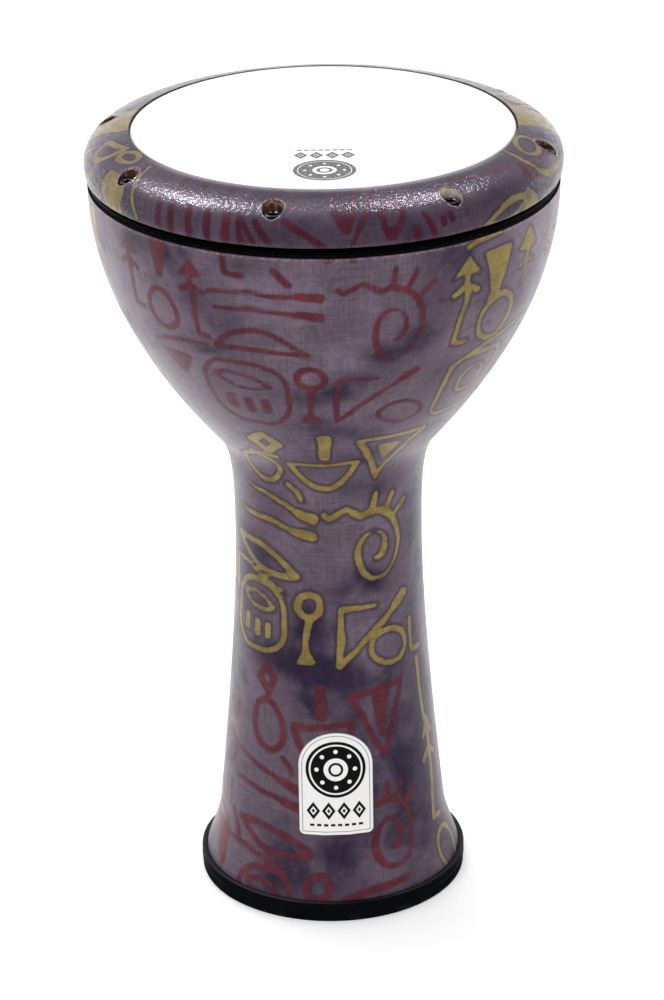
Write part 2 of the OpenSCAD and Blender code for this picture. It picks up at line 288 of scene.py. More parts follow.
SHAPES = {
    "hook": [P([(-5, 7), (-4.5, -5), (6, -6)])],
    "slash": [P([(-4, 5), (4, -5)])],
    "dash": [P([(-10, 0), (0, 0.8), (10, 0)])],
    "bar": [F([(-2, -7), (-2.3, 6.5), (-1, 7.4), (1.6, 7.2), (2.4, 6), (2, -7), (0.4, -7.6)])],
    "paddle": [P([(-33, 0), (-8, 1.2), (18, 0)], [0.75, 0.9, 1.0]), P([(18, 0), (32, -0.6)], [1.5, 1.75])],
    "halfmoon": [P([(-26, -6), (-20, 1), (-12, 7), (-3, 9.5), (6, 8), (16, 1), (26, -8), (8, -5.5), (-10, -5)], 1.0, True)],
    "lens": [P(lens(0, 0, 21, 7.5), 1.0, True)],
    "leaf": [P(lens(0, 0, 25, 8), 1.05, True)],
    "panel": [P(rrect(0, 0, 44, 46, 17), 1.0, True), P(lens(-1, 9.5, 14.5, 5.2, -10), 0.85, True),
              F([(-13, -2), (-8.2, -2.6), (-8.6, -13), (-13, -12.4)]), F([(-3, -3.4), (1.6, -3.8), (1.4, -14.4), (-3.2, -14)]), F([(6.4, -4), (10.8, -3.6), (10.6, -13), (6.4, -13.6)])],
    "key": [P(oval(0, 14, 7.2, 7.5), 1.15, True), P([(0, 6), (-1, -10), (-1, -20)], [1.2, 1.0, 1.1]), F([(-1.2, -14), (5.8, -24), (-7.6, -24.5)])],
    "sail": [P([(-20, 18), (0, 18.5)], [1.0, 0.8]), P([(-20, 18), (-20.5, 0), (-21, -21)], [1.0, 1.15, 0.9]), P([(-21, -21), (-4, -2), (14, 14)], [1.0, 1.0, 0.9]), P([(14, 14), (21, 20)], [1.35, 1.6])],
    "oval": [P(oval(0, 0, 10, 12, 28), 1.0, True)],
    "spiral": _spiral(),
    "arc": [P(oval(0, -6, 8, 7, 8, 0, 30, 150))],
    "sweep": [P([(-22, -5), (-10, 1), (4, 4), (22, 4)], [0.8, 1.0, 1.0, 0.8])],
    "wedge": [F([(-9, 12), (8.6, 12.8), (2.6, -12), (-2.4, -12)])],
    "slab": [F([(-8.6, 12), (6.4, 12.6), (9.4, 3), (8.2, -12), (-6.4, -11.2), (-9.6, 2)])],
    "arrow": [F([(0, 29), (9, 17), (2.4, 18.5), (-2.4, 18.5), (-9, 16.5)]), P([(-8.5, 6), (0, 11), (8.5, 6.5)], 1.1), P([(0, 19), (0.5, 0), (-1.5, -27)], 1.05), P([(-1.5, -27), (8, -28)], 1.05)],
    "dart": [F([(0, 17), (8, 5), (-8, 5)]), P([(0, 6), (-0.5, -16)], 0.95), P([(-6, -5), (0, 0), (6, -4)], 0.85)],
    "frame": [P(rrect(0, 0, 38, 46, 9), 1.0, True), P(oval(1, 3, 9, 10), 0.9, True)],
    "lozenge": [P([(0, 9), (6, 0.5), (0, -9), (-6, 0.5)], 1.15, True)],
    "cup": [P(oval(0, 10, 18, 22, 20, 0, 180, 360)), P([(-18, 10), (0, 9.2), (18, 11)])],
    "tri": [P([(-16, 20), (16, 21), (1, -22)], 1.0, True), F([(-6, 13), (7.2, 13.6), (0.8, -5)])],
    "fan": [P([(-18, 19), (18, 22), (2, -22)], 1.0, True), F([(-5, 21), (8, 22), (3.4, -8), (0.4, -8)])],
    "zigzag": [P([(-20, -7), (-12, 7), (-4, -7), (4, 7), (12, -7), (20, 7)])],
    "bars": [P([(-17, 8), (-15.5, -9)]), P([(-9, 9), (-8, -8)]), P([(-0.5, 8), (0.5, -9)]), P([(8, 9), (8.6, -8)]), P([(16, 8), (17, -9)])],
    "crook": [P([(-13, 13), (-15, 1), (-13, -9), (-4, -13), (15, -13.5)], [0.8, 1.0, 1.1, 1.3, 1.0])],
    "vee": [P([(-8, 15), (-4.5, -4), (0, -13), (4, -4), (9, 15)], [0.9, 1.0, 1.4, 1.0, 0.9]), P([(0, -11), (0, -4)], [1.6, 0.8])],
    "zed": [P([(-7, 7), (-6, -7)], 1.1), P([(-6, 7), (0, -6)]), P([(1, 6), (7, -6)], 1.2)],
}


def stamp(X, Y, name, w, width, height):
    prims = SHAPES[name]
    pts = np.array([q for p in prims for q in p[1]], float)
    lo, hi = pts.min(0), pts.max(0)
    mid = (lo + hi) / 2
    k = np.array([width, height]) / np.maximum(hi - lo, 1e-3)
    if hi[1] - lo[1] < 2:
        k[1] = 1.0
    d = np.full(X.shape, 1e3)
    for kind, q, ww, closed in prims:
        q = [tuple((np.array(c) - mid) * k) for c in q]
        if kind == "fill":
            d = np.minimum(d, fill(X, Y, q) - 0.35)
        else:
            d = np.minimum(d, line(X, Y, q, [w * c for c in ww] if hasattr(ww, "__len__") else w * ww, closed))
    return d


R_, Y_ = 0, 1
# shape, angle from the player's side (+90 is +X), arc length up the profile, width, height, turn, ink, half line width
BODY_FRONT = [
    ("hook", -21.8, 438.8, 11, 12, 0, R_, 1.6), ("slash", -10.5, 434, 9, 9, 0, R_, 1.9), ("paddle", -14.6, 422.6, 62, 5, 1, R_, 1.45),
    ("paddle", -14.8, 412.4, 60, 5, -1, R_, 1.45), ("halfmoon", -17, 392.5, 52, 16, 0, R_, 1.55), ("panel", -24, 351.5, 46, 50, 0, R_, 1.4),
    ("tri", -44.5, 366, 17, 13, 0, R_, 2.0), ("key", -4.6, 352.5, 14, 45, 0, R_, 1.6), ("sail", 14, 349.5, 40, 38, 0, R_, 1.5), ("oval", 24.3, 334, 25, 18, -14, R_, 1.4),
    ("spiral", 14.7, 409, 51, 58, 0, R_, 1.55), ("arc", 3.5, 446, 13, 3, 0, R_, 1.8), ("wedge", -43, 434, 11, 22, 0, R_, 1.6), ("oval", -44.3, 403, 20, 25, 0, R_, 1.6),
    ("bar", -74.5, 430, 7.5, 26, -4, Y_, 1.5), ("hook", 70.5, 430, 8, 24, 0, Y_, 1.7), ("arrow", -33.5, 415, 15, 47, 0, R_, 1.5), ("arrow", -54, 420, 14, 42, 0, R_, 1.5), ("sweep", -42, 382, 42, 5, 4, R_, 1.3),
    ("arrow", 35.8, 409, 17, 55, 0, Y_, 1.65), ("wedge", 45.6, 423, 21, 27, 0, Y_, 1.6), ("dash", 46.8, 407, 14, 1, 0, Y_, 1.7), ("oval", 48.8, 392, 26, 28, 8, Y_, 1.75),
    ("dart", 57.5, 424, 18, 32, 0, Y_, 1.55), ("sweep", 53, 372, 66, 8, 8, Y_, 1.4), ("frame", 48, 345, 38, 46, 0, Y_, 1.55), ("sweep", 40.5, 443, 24, 4, 0, Y_, 1.6),
    ("lozenge", -25.8, 304.8, 16, 18, -4, Y_, 2.5), ("oval", -36, 276.5, 22, 24, 0, Y_, 1.85), ("dash", -30, 291, 15, 1, -8, Y_, 1.9), ("bar", -1.5, 303, 6.6, 26, 0, Y_, 1.8),
    ("cup", -2, 274, 35, 22, 2, Y_, 1.9), ("tri", 26, 289, 33, 42, 0, Y_, 1.8), ("paddle", -31, 250.5, 43, 5, -19, Y_, 1.75), ("paddle", -36.5, 236.5, 50, 5, -8, Y_, 1.75),
    ("dash", -19.5, 259.5, 11, 1, -52, Y_, 1.7), ("leaf", -44, 213.5, 48, 13, -19, Y_, 1.75), ("sweep", -50, 201.5, 42, 5, -24, Y_, 1.3), ("spiral", 24, 229, 51, 53, 0, Y_, 1.85),
    ("panel", -48, 177, 38, 42, 0, Y_, 1.75), ("key", -13.3, 174.5, 13.5, 43, 0, Y_, 1.9), ("sail", 28, 170, 43, 36, 0, Y_, 1.9), ("oval", 37.5, 159.5, 25, 21, -18, Y_, 1.8),
    ("lozenge", -39.5, 139.5, 11, 16, 10, R_, 2.2), ("oval", -38, 111, 21, 30, 10, R_, 1.95), ("bar", -5.6, 130, 6.2, 22, 0, R_, 1.9), ("cup", -5, 105, 34, 22, 0, R_, 2.0),
    ("fan", 28, 114.5, 35, 43, 0, R_, 1.9), ("paddle", -39.5, 82.5, 46, 5, -17, R_, 1.65), ("paddle", -38.5, 68.5, 46, 5, -9, R_, 1.7), ("dash", -25, 89, 11, 1, -52, R_, 1.7),
    ("leaf", -33, 41, 52, 13, -14, R_, 1.9), ("sweep", -42, 28, 44, 6, -16, R_, 1.5), ("spiral", 27, 50, 47, 53, 0, R_, 1.95), ("oval", -7, 16.5, 14, 15, 0, R_, 2.3),
    ("panel", -34, 3, 36, 40, 0, R_, 1.9), ("sweep", 21, 12.5, 40, 3, 3, R_, 2.3), ("wedge", -68, 24, 18, 26, 28, R_, 1.6), ("dash", -58, 40, 20, 1, -60, R_, 1.7),
    ("arrow", 66, 72, 15, 68, 0, Y_, 1.75), ("oval", 70, 18, 22, 24, 0, Y_, 1.6), ("slash", 62, 124, 4, 40, 0, Y_, 1.7), ("hook", 60, 160, 8, 20, 0, Y_, 1.6),
]
GROUP_A = [("lozenge", -28, 78, 14, 18), ("oval", -33, 52, 22, 24), ("bar", -2, 76, 6.5, 26), ("cup", -2, 48, 35, 22), ("tri", 27, 62, 33, 42), ("paddle", -29, 24, 42, 5), ("paddle", -33, 10, 46, 5),
           ("leaf", -32, -11, 46, 13), ("spiral", 20, 3, 50, 52), ("panel", -40, -46, 38, 42), ("key", -11, -50, 13.5, 43), ("sail", 22, -52, 42, 36), ("oval", 34, -64, 24, 20)]
GROUP_B = [("arrow", -19, 26, 17, 56), ("wedge", 3, 38, 21, 26), ("oval", 4, 8, 24, 28), ("dart", 24, 34, 17, 32), ("sweep", 4, -14, 54, 8), ("frame", 0, -44, 36, 44), ("bars", 33, -40, 26, 24)]
GROUP_C = [("zigzag", 0, 44, 42, 14), ("dart", -14, 12, 17, 34), ("oval", 9, 12, 22, 24), ("bars", 0, -22, 34, 20), ("halfmoon", 0, -48, 44, 16)]


def spread(group, phi, s, radius, k, ink, w):
    return [(n, phi + math.degrees(x * k / radius), s + y * k, W * k, H * k, 0 if n != "paddle" else -14, ink, w) for n, x, y, W, H in group]


BODY_PRINT = BODY_FRONT + (
    spread(GROUP_A, 96, 398, 124, 1.0, R_, 1.55) + spread(GROUP_B, 140, 398, 124, 1.0, Y_, 1.65) + spread(GROUP_A, 186, 396, 124, 1.0, Y_, 1.65)
    + spread(GROUP_B, 234, 400, 124, 1.0, R_, 1.55) + spread(GROUP_C, 270, 398, 124, 1.1, Y_, 1.65) + spread(GROUP_C, 79, 358, 100, 0.7, R_, 1.5)
    + spread(GROUP_C, 288, 350, 100, 0.7, R_, 1.5) + spread(GROUP_C, 97, 232, 54, 0.8, R_, 1.8) + spread(GROUP_A, 172, 224, 54, 0.92, R_, 1.8)
    + spread(GROUP_B, 243, 232, 54, 0.9, Y_, 1.85) + spread(GROUP_B, 110, 84, 62, 0.95, R_, 1.85)
    + spread(GROUP_A, 170, 66, 62, 0.95, Y_, 1.85) + spread(GROUP_B, 232, 84, 62, 0.95, R_, 1.8) + spread(GROUP_C, 281, 76, 62, 0.8, R_, 1.7))
RING_PRINT = [
    ("bar", -41.4, 9.4, 2.8, 17, 5, R_, 1.3), ("bar", -37.8, 8.4, 3.0, 17, 3, R_, 1.3), ("bar", -32.9, 8.8, 3.2, 18, 3, R_, 1.3), ("bar", -28.1, 8.2, 3.4, 18, 2, R_, 1.3), ("bar", -23.2, 8.9, 3.8, 18, 3, R_, 1.3),
    ("bar", -40, 33, 3.6, 8, 0, R_, 1.2), ("bar", -33.5, 35, 4, 8, 10, R_, 1.2), ("bar", -25, 35, 3, 10, -6, R_, 1.2), ("bar", -12.5, 35, 3, 8, -12, R_, 1.2),
    ("zed", -16.6, 8.5, 15, 13, 0, R_, 1.5), ("dash", -4.7, 7.8, 24, 1, -33, R_, 1.7), ("vee", 4.9, 24.5, 16, 28, 0, R_, 1.7), ("dash", 9.6, 19, 36, 1, 64, R_, 1.35),
    ("vee", 15.6, 12.5, 13, 16, 0, R_, 1.5), ("dash", 17.6, 22.5, 16, 1, 12, R_, 1.3), ("dash", 25, 7.8, 15, 1, -70, R_, 1.5), ("bar", 21.4, 5, 3.4, 9, 12, R_, 1.4),
    ("bar", 28.3, 9.2, 2.8, 6, 10, R_, 1.3), ("bar", 30.4, 10.4, 2.8, 6, 14, R_, 1.3), ("sweep", 38, 31, 20, 7, -20, R_, 1.2), ("sweep", 50, 26, 24, 8, -14, R_, 1.2), ("bar", 59, 21, 4, 12, -20, R_, 1.4),
    ("leaf", 48, 4.5, 34, 9, 12, Y_, 1.6), ("wedge", 57, 4, 14, 12, 70, Y_, 1.5), ("oval", 73, 31.5, 25, 14, 14, Y_, 1.7), ("crook", 69.5, 25, 30, 28, 0, Y_, 1.7), ("wedge", 97, 24, 44, 36, 0, Y_, 1.5), ("tri", 112, 24, 34, 34, 0, Y_, 2.6),
    ("slab", -60.2, 10.4, 22, 21, 4, Y_, 1.5), ("dash", -52.6, 19, 34, 1, 114, Y_, 1.15), ("cup", -76, 25, 20, 15, 14, Y_, 2.1), ("oval", -66.2, 32.3, 17, 9.5, 6, Y_, 1.9), ("wedge", -97, 24, 44, 34, 0, Y_, 1.5), ("sweep", -85, 9, 20, 6, 50, Y_, 1.9),
    ("lens", 130, 20, 30, 12, 10, R_, 1.4), ("vee", 141, 19, 16, 28, 0, R_, 1.6),
    ("sail", 153, 18, 24, 28, 0, Y_, 1.5), ("oval", 165, 20, 16, 20, 0, Y_, 1.6), ("arrow", 178, 18, 13, 34, 60, Y_, 1.5), ("zigzag", 192, 16, 32, 12, -4, R_, 1.4), ("halfmoon", 208, 20, 34, 16, 0, R_, 1.5),
    ("bars", 222, 13, 30, 18, 0, R_, 1.5), ("tri", 236, 18, 22, 28, 180, Y_, 1.5), ("lozenge", 247, 20, 12, 18, 0, Y_, 1.6), ("vee", 258, 18, 16, 28, 0, Y_, 1.5),
]


def print_fields(pos, phi, s, radius, items):
    """Signed distance to each ink, in millimetres, at every vertex. phi in degrees from the player's side."""
    wx = 1.9 * (vnoise(pos, 14.0, 3) - 0.5) + 0.8 * (vnoise(pos, 4.5, 5) - 0.5)
    wy = 1.9 * (vnoise(pos, 14.0, 4) - 0.5) + 0.8 * (vnoise(pos, 4.5, 6) - 0.5)
    out = [np.full(len(phi), 9.0), np.full(len(phi), 9.0)]
    for name, pc, sc, W, H, turn, ink, w in items:
        r_loc = radius[np.argmin(np.abs(s - sc))]
        dphi = (phi - pc + 180) % 360 - 180
        x, y = np.radians(dphi) * r_loc, s - sc
        reach = 0.5 * math.hypot(W, H) + 6
        m = (np.abs(x) < reach) & (np.abs(y) < reach)
        if not m.any():
            continue
        a = math.radians(turn)
        X, Y = x[m] + wx[m], y[m] + wy[m]
        X, Y = X * math.cos(a) + Y * math.sin(a), -X * math.sin(a) + Y * math.cos(a)
        out[ink][m] = np.minimum(out[ink][m], stamp(X, Y, name, w, W, H))
    return out


# ---------------------------------------------------------------- node helpers
def lin(*rgb):
    f = lambda c: c / 12.92 if c <= 0.04045 else ((c + 0.055) / 1.055) ** 2.4
    return tuple(f(c / 255.0) for c in rgb) + (1.0,)


class Mat:
    def __init__(self, name):
        self.m = bpy.data.materials.new(name)
        self.m.use_nodes = True
        self.t = self.m.node_tree
        self.t.nodes.clear()
        self.out = self.t.nodes.new("ShaderNodeOutputMaterial")
        self.bsdf = self.t.nodes.new("ShaderNodeBsdfPrincipled")
        self.t.links.new(self.bsdf.outputs[0], self.out.inputs[0])

    def put(self, sock, v):
        if isinstance(v, bpy.types.NodeSocket):
            self.t.links.new(v, sock)
        else:
            sock.default_value = v

    def node(self, kind, ins=None, out=0, **props):
        n = self.t.nodes.new(kind)
        for k, v in props.items():
            setattr(n, k, v)
        for k, v in (ins or {}).items():
            self.put(n.inputs[k], v)
        return n.outputs[out]

    def math(self, op, a, b=0.0, c=0.0, clamp=False):
        return self.node("ShaderNodeMath", {0: a, 1: b, 2: c}, operation=op, use_clamp=clamp)

    def add(self, a, b):
        return self.math("ADD", a, b)

    def sub(self, a, b):
        return self.math("SUBTRACT", a, b)

    def mul(self, a, b):
        return self.math("MULTIPLY", a, b)

    def madd(self, a, b, c):
        return self.math("MULTIPLY_ADD", a, b, c)

    def low(self, a, b):
        return self.math("MINIMUM", a, b)

    def high(self, a, b):
        return self.math("MAXIMUM", a, b)

    def vec(self, x, y, z=0.0):
        return self.node("ShaderNodeCombineXYZ", {0: x, 1: y, 2: z})

    def split(self, v):
        n = self.t.nodes.new("ShaderNodeSeparateXYZ")
        self.put(n.inputs[0], v)
        return n.outputs[0], n.outputs[1], n.outputs[2]

    def scale(self, v, xyz):
        return self.node("ShaderNodeVectorMath", {0: v, 1: xyz}, operation="MULTIPLY")

    def obj(self):
        return self.node("ShaderNodeTexCoord", out=3)

    def attr(self, name):
        return self.node("ShaderNodeAttribute", out=2, attribute_name=name)

    def uv(self, name):
        return self.node("ShaderNodeUVMap", uv_map=name)

    def noise(self, v, scale, detail=2.0, rough=0.5, distort=0.0, dims="3D"):
        return self.node("ShaderNodeTexNoise", {"Vector": v, "Scale": scale, "Detail": detail, "Roughness": rough, "Distortion": distort}, noise_dimensions=dims)

    def ramp(self, v, a, b, lo=0.0, hi=1.0, smooth=True):
        return self.node("ShaderNodeMapRange", {"Value": v, "From Min": a, "From Max": b, "To Min": lo, "To Max": hi}, interpolation_type="SMOOTHSTEP" if smooth else "LINEAR")

    def mix(self, f, a, b, blend="MIX"):
        n = self.t.nodes.new("ShaderNodeMix")
        n.data_type = "RGBA"
        n.blend_type = blend
        self.put(n.inputs[0], f)
        self.put(n.inputs[6], a)
        self.put(n.inputs[7], b)
        return n.outputs[2]

    def tint(self, colour, f):
        """colour times a grey factor socket"""
        return self.mix(1.0, colour, self.node("ShaderNodeCombineColor", {0: f, 1: f, 2: f}), "MULTIPLY")

    def bump(self, h, distance, strength=1.0, normal=None):
        ins = {"Height": h, "Distance": distance, "Strength": strength}
        if normal is not None:
            ins["Normal"] = normal
        return self.node("ShaderNodeBump", ins)

    def set(self, **kw):
        for k, v in kw.items():
            self.put(self.bsdf.inputs[k.replace("_", " ")], v)
        return self.m


# ---------------------------------------------------------------- materials
def skin_material(name, radius_low, radius_high, split_z, grey, lilac, indigo, lacquer):
    """Printed, batik-dyed cotton under lacquer."""
    k = Mat(name)
    obj = k.obj()
    ox, oy, oz = k.split(obj)
    phi, s, _ = k.split(k.uv("skin"))

    def threads(radius):
        u = k.mul(phi, radius)
        warp = k.noise(k.vec(k.mul(u, 1050.0), k.mul(s, 46.0)), 1.0, 2.0, 0.65, 0.0, "2D")
        weft = k.noise(k.vec(k.mul(u, 46.0), k.mul(s, 1050.0)), 1.0, 2.0, 0.65, 0.0, "2D")
        return warp, weft

    warp, weft = threads(radius_high)
    if radius_low != radius_high:
        w2, f2 = threads(radius_low)
        f = k.ramp(oz, split_z - 0.02, split_z + 0.02)
        warp = k.add(k.mul(warp, f), k.mul(w2, k.sub(1.0, f)))
        weft = k.add(k.mul(weft, f), k.mul(f2, k.sub(1.0, f)))
    weave = k.add(warp, weft)

    # dye: drifting pools of indigo through grey lilac, feathered along the threads; the dye attribute also carries
    # painted shade on the ring's crown and towards the foot
    big = k.noise(obj, 14.0, 3.0, 0.55, 0.9)
    mid = k.noise(obj, 55.0, 4.0, 0.65, 0.5)
    fine = k.noise(obj, 300.0, 3.0, 0.6)
    d = k.add(k.attr("dye_and_painted_shade"), k.madd(k.sub(big, 0.5), 1.5, k.mul(k.sub(mid, 0.5), 1.25)))
    d = k.add(d, k.mul(k.sub(weave, 1.0), 0.30))
    dark = k.ramp(d, 0.04, 0.86)
    pale = k.ramp(k.sub(k.add(big, k.mul(mid, 0.5)), k.mul(k.attr("dye_and_painted_shade"), 0.5)), 0.66, 1.0)
    cloth = k.mix(pale, grey, lilac)
    cloth = k.mix(k.mul(dark, 0.94), cloth, indigo)
    cloth = k.tint(cloth, k.add(0.26, k.mul(weave, 0.74)))
    cloth = k.tint(cloth, k.madd(fine, 0.60, 0.70))

    # ink edges bleed a little along the threads
    ragged = k.add(k.mul(k.sub(k.noise(obj, 900.0, 2.0, 0.6), 0.5), 0.7), k.mul(k.sub(warp, weft), 0.5))
    red = k.add(k.attr("ink_red"), ragged)
    yel = k.add(k.attr("ink_yellow"), ragged)
    m_red = k.ramp(red, 0.30, -0.30)
    m_yel = k.ramp(yel, 0.30, -0.30)
    wash = k.noise(obj, 95.0, 3.0, 0.65, 0.3)
    c_red = k.mix(k.ramp(wash, 0.35, 0.68), lacquer["red_a"], lacquer["red_b"])
    c_red = k.mix(k.mul(dark, 0.45), c_red, lin(72, 16, 36))
    c_yel = k.mix(k.ramp(wash, 0.33, 0.62), lacquer["yel_a"], lacquer["yel_b"])
    c_yel = k.mix(k.mul(k.ramp(k.noise(obj, 160.0, 2.0, 0.6), 0.50, 0.70), 0.5), c_yel, lin(140, 92, 40))
    c_yel = k.mix(k.mul(k.ramp(yel, -0.9, -0.1), 0.42), c_yel, lin(86, 78, 44))
    c_yel = k.mix(k.mul(dark, 0.22), c_yel, lin(88, 72, 38))
    weave_tint = k.add(0.45, k.mul(weave, 0.55))
    c_red, c_yel = k.tint(c_red, weave_tint), k.tint(c_yel, weave_tint)
    halo = k.math("MULTIPLY", k.ramp(k.low(yel, k.add(red, 1.2)), 2.6, 0.1), 0.66)
    cloth = k.mix(halo, cloth, lin(38, 24, 50))
    thin = k.madd(k.ramp(k.noise(obj, 420.0, 2.0, 0.6), 0.30, 0.55), 0.3, 0.7)
    col = k.mix(k.mul(m_red, k.mul(thin, 0.94)), cloth, c_red)
    col = k.mix(k.mul(m_yel, k.madd(thin, 0.4, 0.6)), col, c_yel)
    edge_fray_and_painted_light = k.attr("edge_fray_and_painted_light")
    # painted reflection: the white head mirrored as a pale band on the ring's inner edge, on the half facing the player
    col = k.mix(k.mul(k.attr("painted_head_reflection"), k.madd(fine, 0.5, 0.5)), col, lin(222, 214, 220))
    fray = k.ramp(k.noise(obj, 640.0, 3.0, 0.7, 0.6), 0.40, 0.62)
    # pale cut threads round the holes; along the ring's lower edge and under the seam the same pale colour is painted
    # light
    col = k.mix(k.mul(k.high(edge_fray_and_painted_light, 0.0), k.madd(fray, 0.5, 0.5)), col, k.mix(fray, lin(104, 78, 74), lin(206, 190, 188)))
    # painted shade: where the value is below zero the cloth is painted near-black as the seam's shadow
    col = k.mix(k.high(k.mul(edge_fray_and_painted_light, -1.0), 0.0), col, lin(5, 5, 6))

    bare = k.sub(1.0, k.ramp(k.mul(edge_fray_and_painted_light, -1.0), 0.0, 0.6))
    # relief: threads, slubs and pooled lacquer
    orange = k.noise(obj, lacquer["grain"], 2.0, 0.55)
    h = k.add(k.mul(weave, lacquer["thread"]), k.mul(orange, lacquer["orange"]))
    n1 = k.bump(h, 0.00016, lacquer["bump"])
    even = k.ramp(k.split(obj)[1], -0.015, -0.085, lacquer["sides"], 1.0)
    ncoat = k.bump(k.mul(k.add(orange, k.mul(weave, lacquer["thread_coat"])), even), lacquer["coat_depth"], lacquer["coat_bump"])
    scuff = k.ramp(k.noise(obj, 34.0, 4.0, 0.7), 0.45, 0.75)
    speck = k.ramp(k.noise(obj, 430.0, 2.0, 0.62, 0.4), 0.43, 0.57, 1.0 - lacquer["speck"], 1.0 + lacquer["speck"])
    return k.set(
        Base_Color=col, Roughness=k.madd(scuff, 0.12, lacquer["rough"]), Specular_IOR_Level=k.mul(bare, lacquer["spec"]), Normal=n1,
        Coat_Weight=k.mul(k.mul(bare, speck), lacquer["coat"]), Coat_Roughness=k.madd(scuff, 0.08, lacquer["coat_rough"]), Coat_Normal=ncoat,
        Sheen_Weight=lacquer["sheen"], Sheen_Roughness=0.5, Sheen_Tint=lin(215, 205, 225))


def emblem(k, X, Y):
    """Ink mask and border mask of the plain badge design, at X, Y in millimetres on the 42.6 by 63 plate."""
    ab = lambda v: k.math("ABSOLUTE", v)

    def disc(cx, cy):
        return k.math("SQRT", k.add(k.math("POWER", k.sub(X, cx), 2.0), k.math("POWER", k.sub(Y, cy), 2.0)))

    def box(cx, cy, hw, hh):
        return k.high(k.sub(ab(k.sub(X, cx)), hw), k.sub(ab(k.sub(Y, cy)), hh))

    # a drum seen from above: dark disc, pale rim line, eight bolts and a pale head
    rr = disc(0.0, 9.0)
    body = k.sub(rr, 17.2)
    rim = k.sub(ab(k.sub(rr, 14.9)), 0.5)
    skin = k.sub(rr, 7.0)
    ang = k.math("ARCTAN2", k.sub(Y, 9.0), X)
    fold = k.sub(k.math("MODULO", k.add(ang, 8 * math.pi + math.pi / 8), math.pi / 4), math.pi / 8)
    dots = k.sub(k.math("SQRT", k.add(k.math("POWER", k.sub(k.mul(rr, k.math("COSINE", fold)), 11.0), 2.0), k.math("POWER", k.mul(rr, k.math("SINE", fold)), 2.0))), 1.25)
    body = k.high(body, k.mul(k.low(k.low(rim, skin), dots), -1.0))
    inner = k.sub(ab(k.sub(rr, 3.6)), 0.7)
    # four open lozenges with a centre dot, and a row of dashes
    px = ab(k.sub(k.math("MODULO", k.add(X, 88.0), 8.8), 4.4))
    py = ab(k.add(Y, 16.4))
    loz = k.sub(k.add(px, k.mul(py, 0.72)), 3.9)
    loz = k.high(k.low(k.sub(ab(k.add(loz, 0.95)), 0.95), k.add(loz, 2.9)), k.sub(ab(X), 17.5))
    dx = ab(k.sub(k.math("MODULO", k.add(X, 40.0), 4.0), 2.0))
    dash = k.high(k.high(k.sub(dx, 1.25), k.sub(ab(k.add(Y, 25.2)), 0.75)), k.sub(ab(X), 16.0))
    ink = k.low(k.low(body, inner), k.low(loz, dash))
    arch = k.high(k.mul(k.sub(Y, 10.2), -1.0), k.sub(ab(k.sub(disc(0.0, 10.2), 19.4)), 0.26))
    legs = k.high(k.high(k.sub(Y, 10.2), k.mul(k.add(Y, 29.6), -1.0)), k.sub(ab(k.sub(ab(X), 19.4)), 0.26))
    foot = box(0.0, -29.4, 19.66, 0.26)
    return ink, k.low(k.low(arch, legs), foot)


def head_material():
    k = Mat("coated_film")
    obj = k.obj()
    x, y, z = k.split(obj)
    X, Y = k.mul(k.sub(x, 0.0004), -1000.0 / 0.96), k.mul(k.add(y, 0.0685), -1000.0 / 0.96)
    ink, border = emblem(k, X, Y)
    rough_edge = k.mul(k.sub(k.noise(obj, 2400.0, 2.0), 0.5), 0.3)
    on_top = k.ramp(z, 0.4560, 0.4566)
    m = k.mul(k.ramp(k.sub(k.add(ink, rough_edge), 0.28), 0.12, -0.12), on_top)
    b = k.mul(k.mul(k.ramp(k.add(border, rough_edge), 0.12, -0.12), 0.55), on_top)
    grain = k.noise(obj, 1500.0, 2.0, 0.6)
    cloud = k.noise(obj, 16.0, 3.0, 0.5)
    base = k.mix(k.ramp(cloud, 0.3, 0.7), lin(246, 245, 242), lin(250, 249, 247))
    r = k.math("SQRT", k.add(k.math("POWER", x, 2.0), k.math("POWER", y, 2.0)))
    # painted shade: a faint grey ring where the film bends over the bearing edge
    edge = k.mul(k.ramp(r, 0.0965, 0.0995), k.ramp(r, 0.1045, 0.1025))
    base = k.mix(k.mul(edge, 0.16), base, lin(196, 194, 190))
    grime = k.mul(k.ramp(k.noise(obj, 60.0, 4.0, 0.7), 0.6, 0.85), k.ramp(r, 0.075, 0.103))
    base = k.mix(k.mul(grime, 0.06), base, lin(186, 178, 164))
    speck = k.ramp(grain, 0.30, 0.62, 0.80, 1.0)
    col = k.mix(k.mul(m, speck), base, lin(30, 30, 32))
    col = k.mix(b, col, lin(120, 120, 122))
    return k.set(Base_Color=col, Roughness=k.madd(grain, 0.16, 0.42), Specular_IOR_Level=0.4,
                 Normal=k.bump(grain, 0.00005, 0.5), Subsurface_Weight=0.0)


def badge_material():
    k = Mat("badge_print")
    X, Y, _ = k.split(k.uv("badge"))
    ink, border = emblem(k, X, Y)
    obj = k.obj()
    soft = k.mul(k.sub(k.noise(obj, 3000.0, 2.0), 0.5), 0.12)
    m, b = k.ramp(k.add(ink, soft), 0.10, -0.10), k.ramp(k.add(border, soft), 0.10, -0.10)
    mott = k.noise(obj, 190.0, 3.0, 0.6)
    base = k.mix(mott, lin(236, 235, 233), lin(246, 245, 243))
    col = k.mix(m, base, lin(14, 14, 17))
    col = k.mix(k.mul(b, 0.8), col, lin(120, 120, 124))
    # painted shade: the plate's bevel and sides are painted grey
    side = k.attr("rim")
    col = k.mix(side, col, lin(170, 169, 166))
    rough = k.add(k.madd(mott, 0.12, 0.26), k.mul(m, 0.08))
    return k.set(Base_Color=col, Roughness=rough, Specular_IOR_Level=0.45, Normal=k.bump(k.add(k.mul(m, 0.5), k.mul(mott, 0.3)), 0.00006, 0.5),
                 Coat_Weight=0.25, Coat_Roughness=0.15)


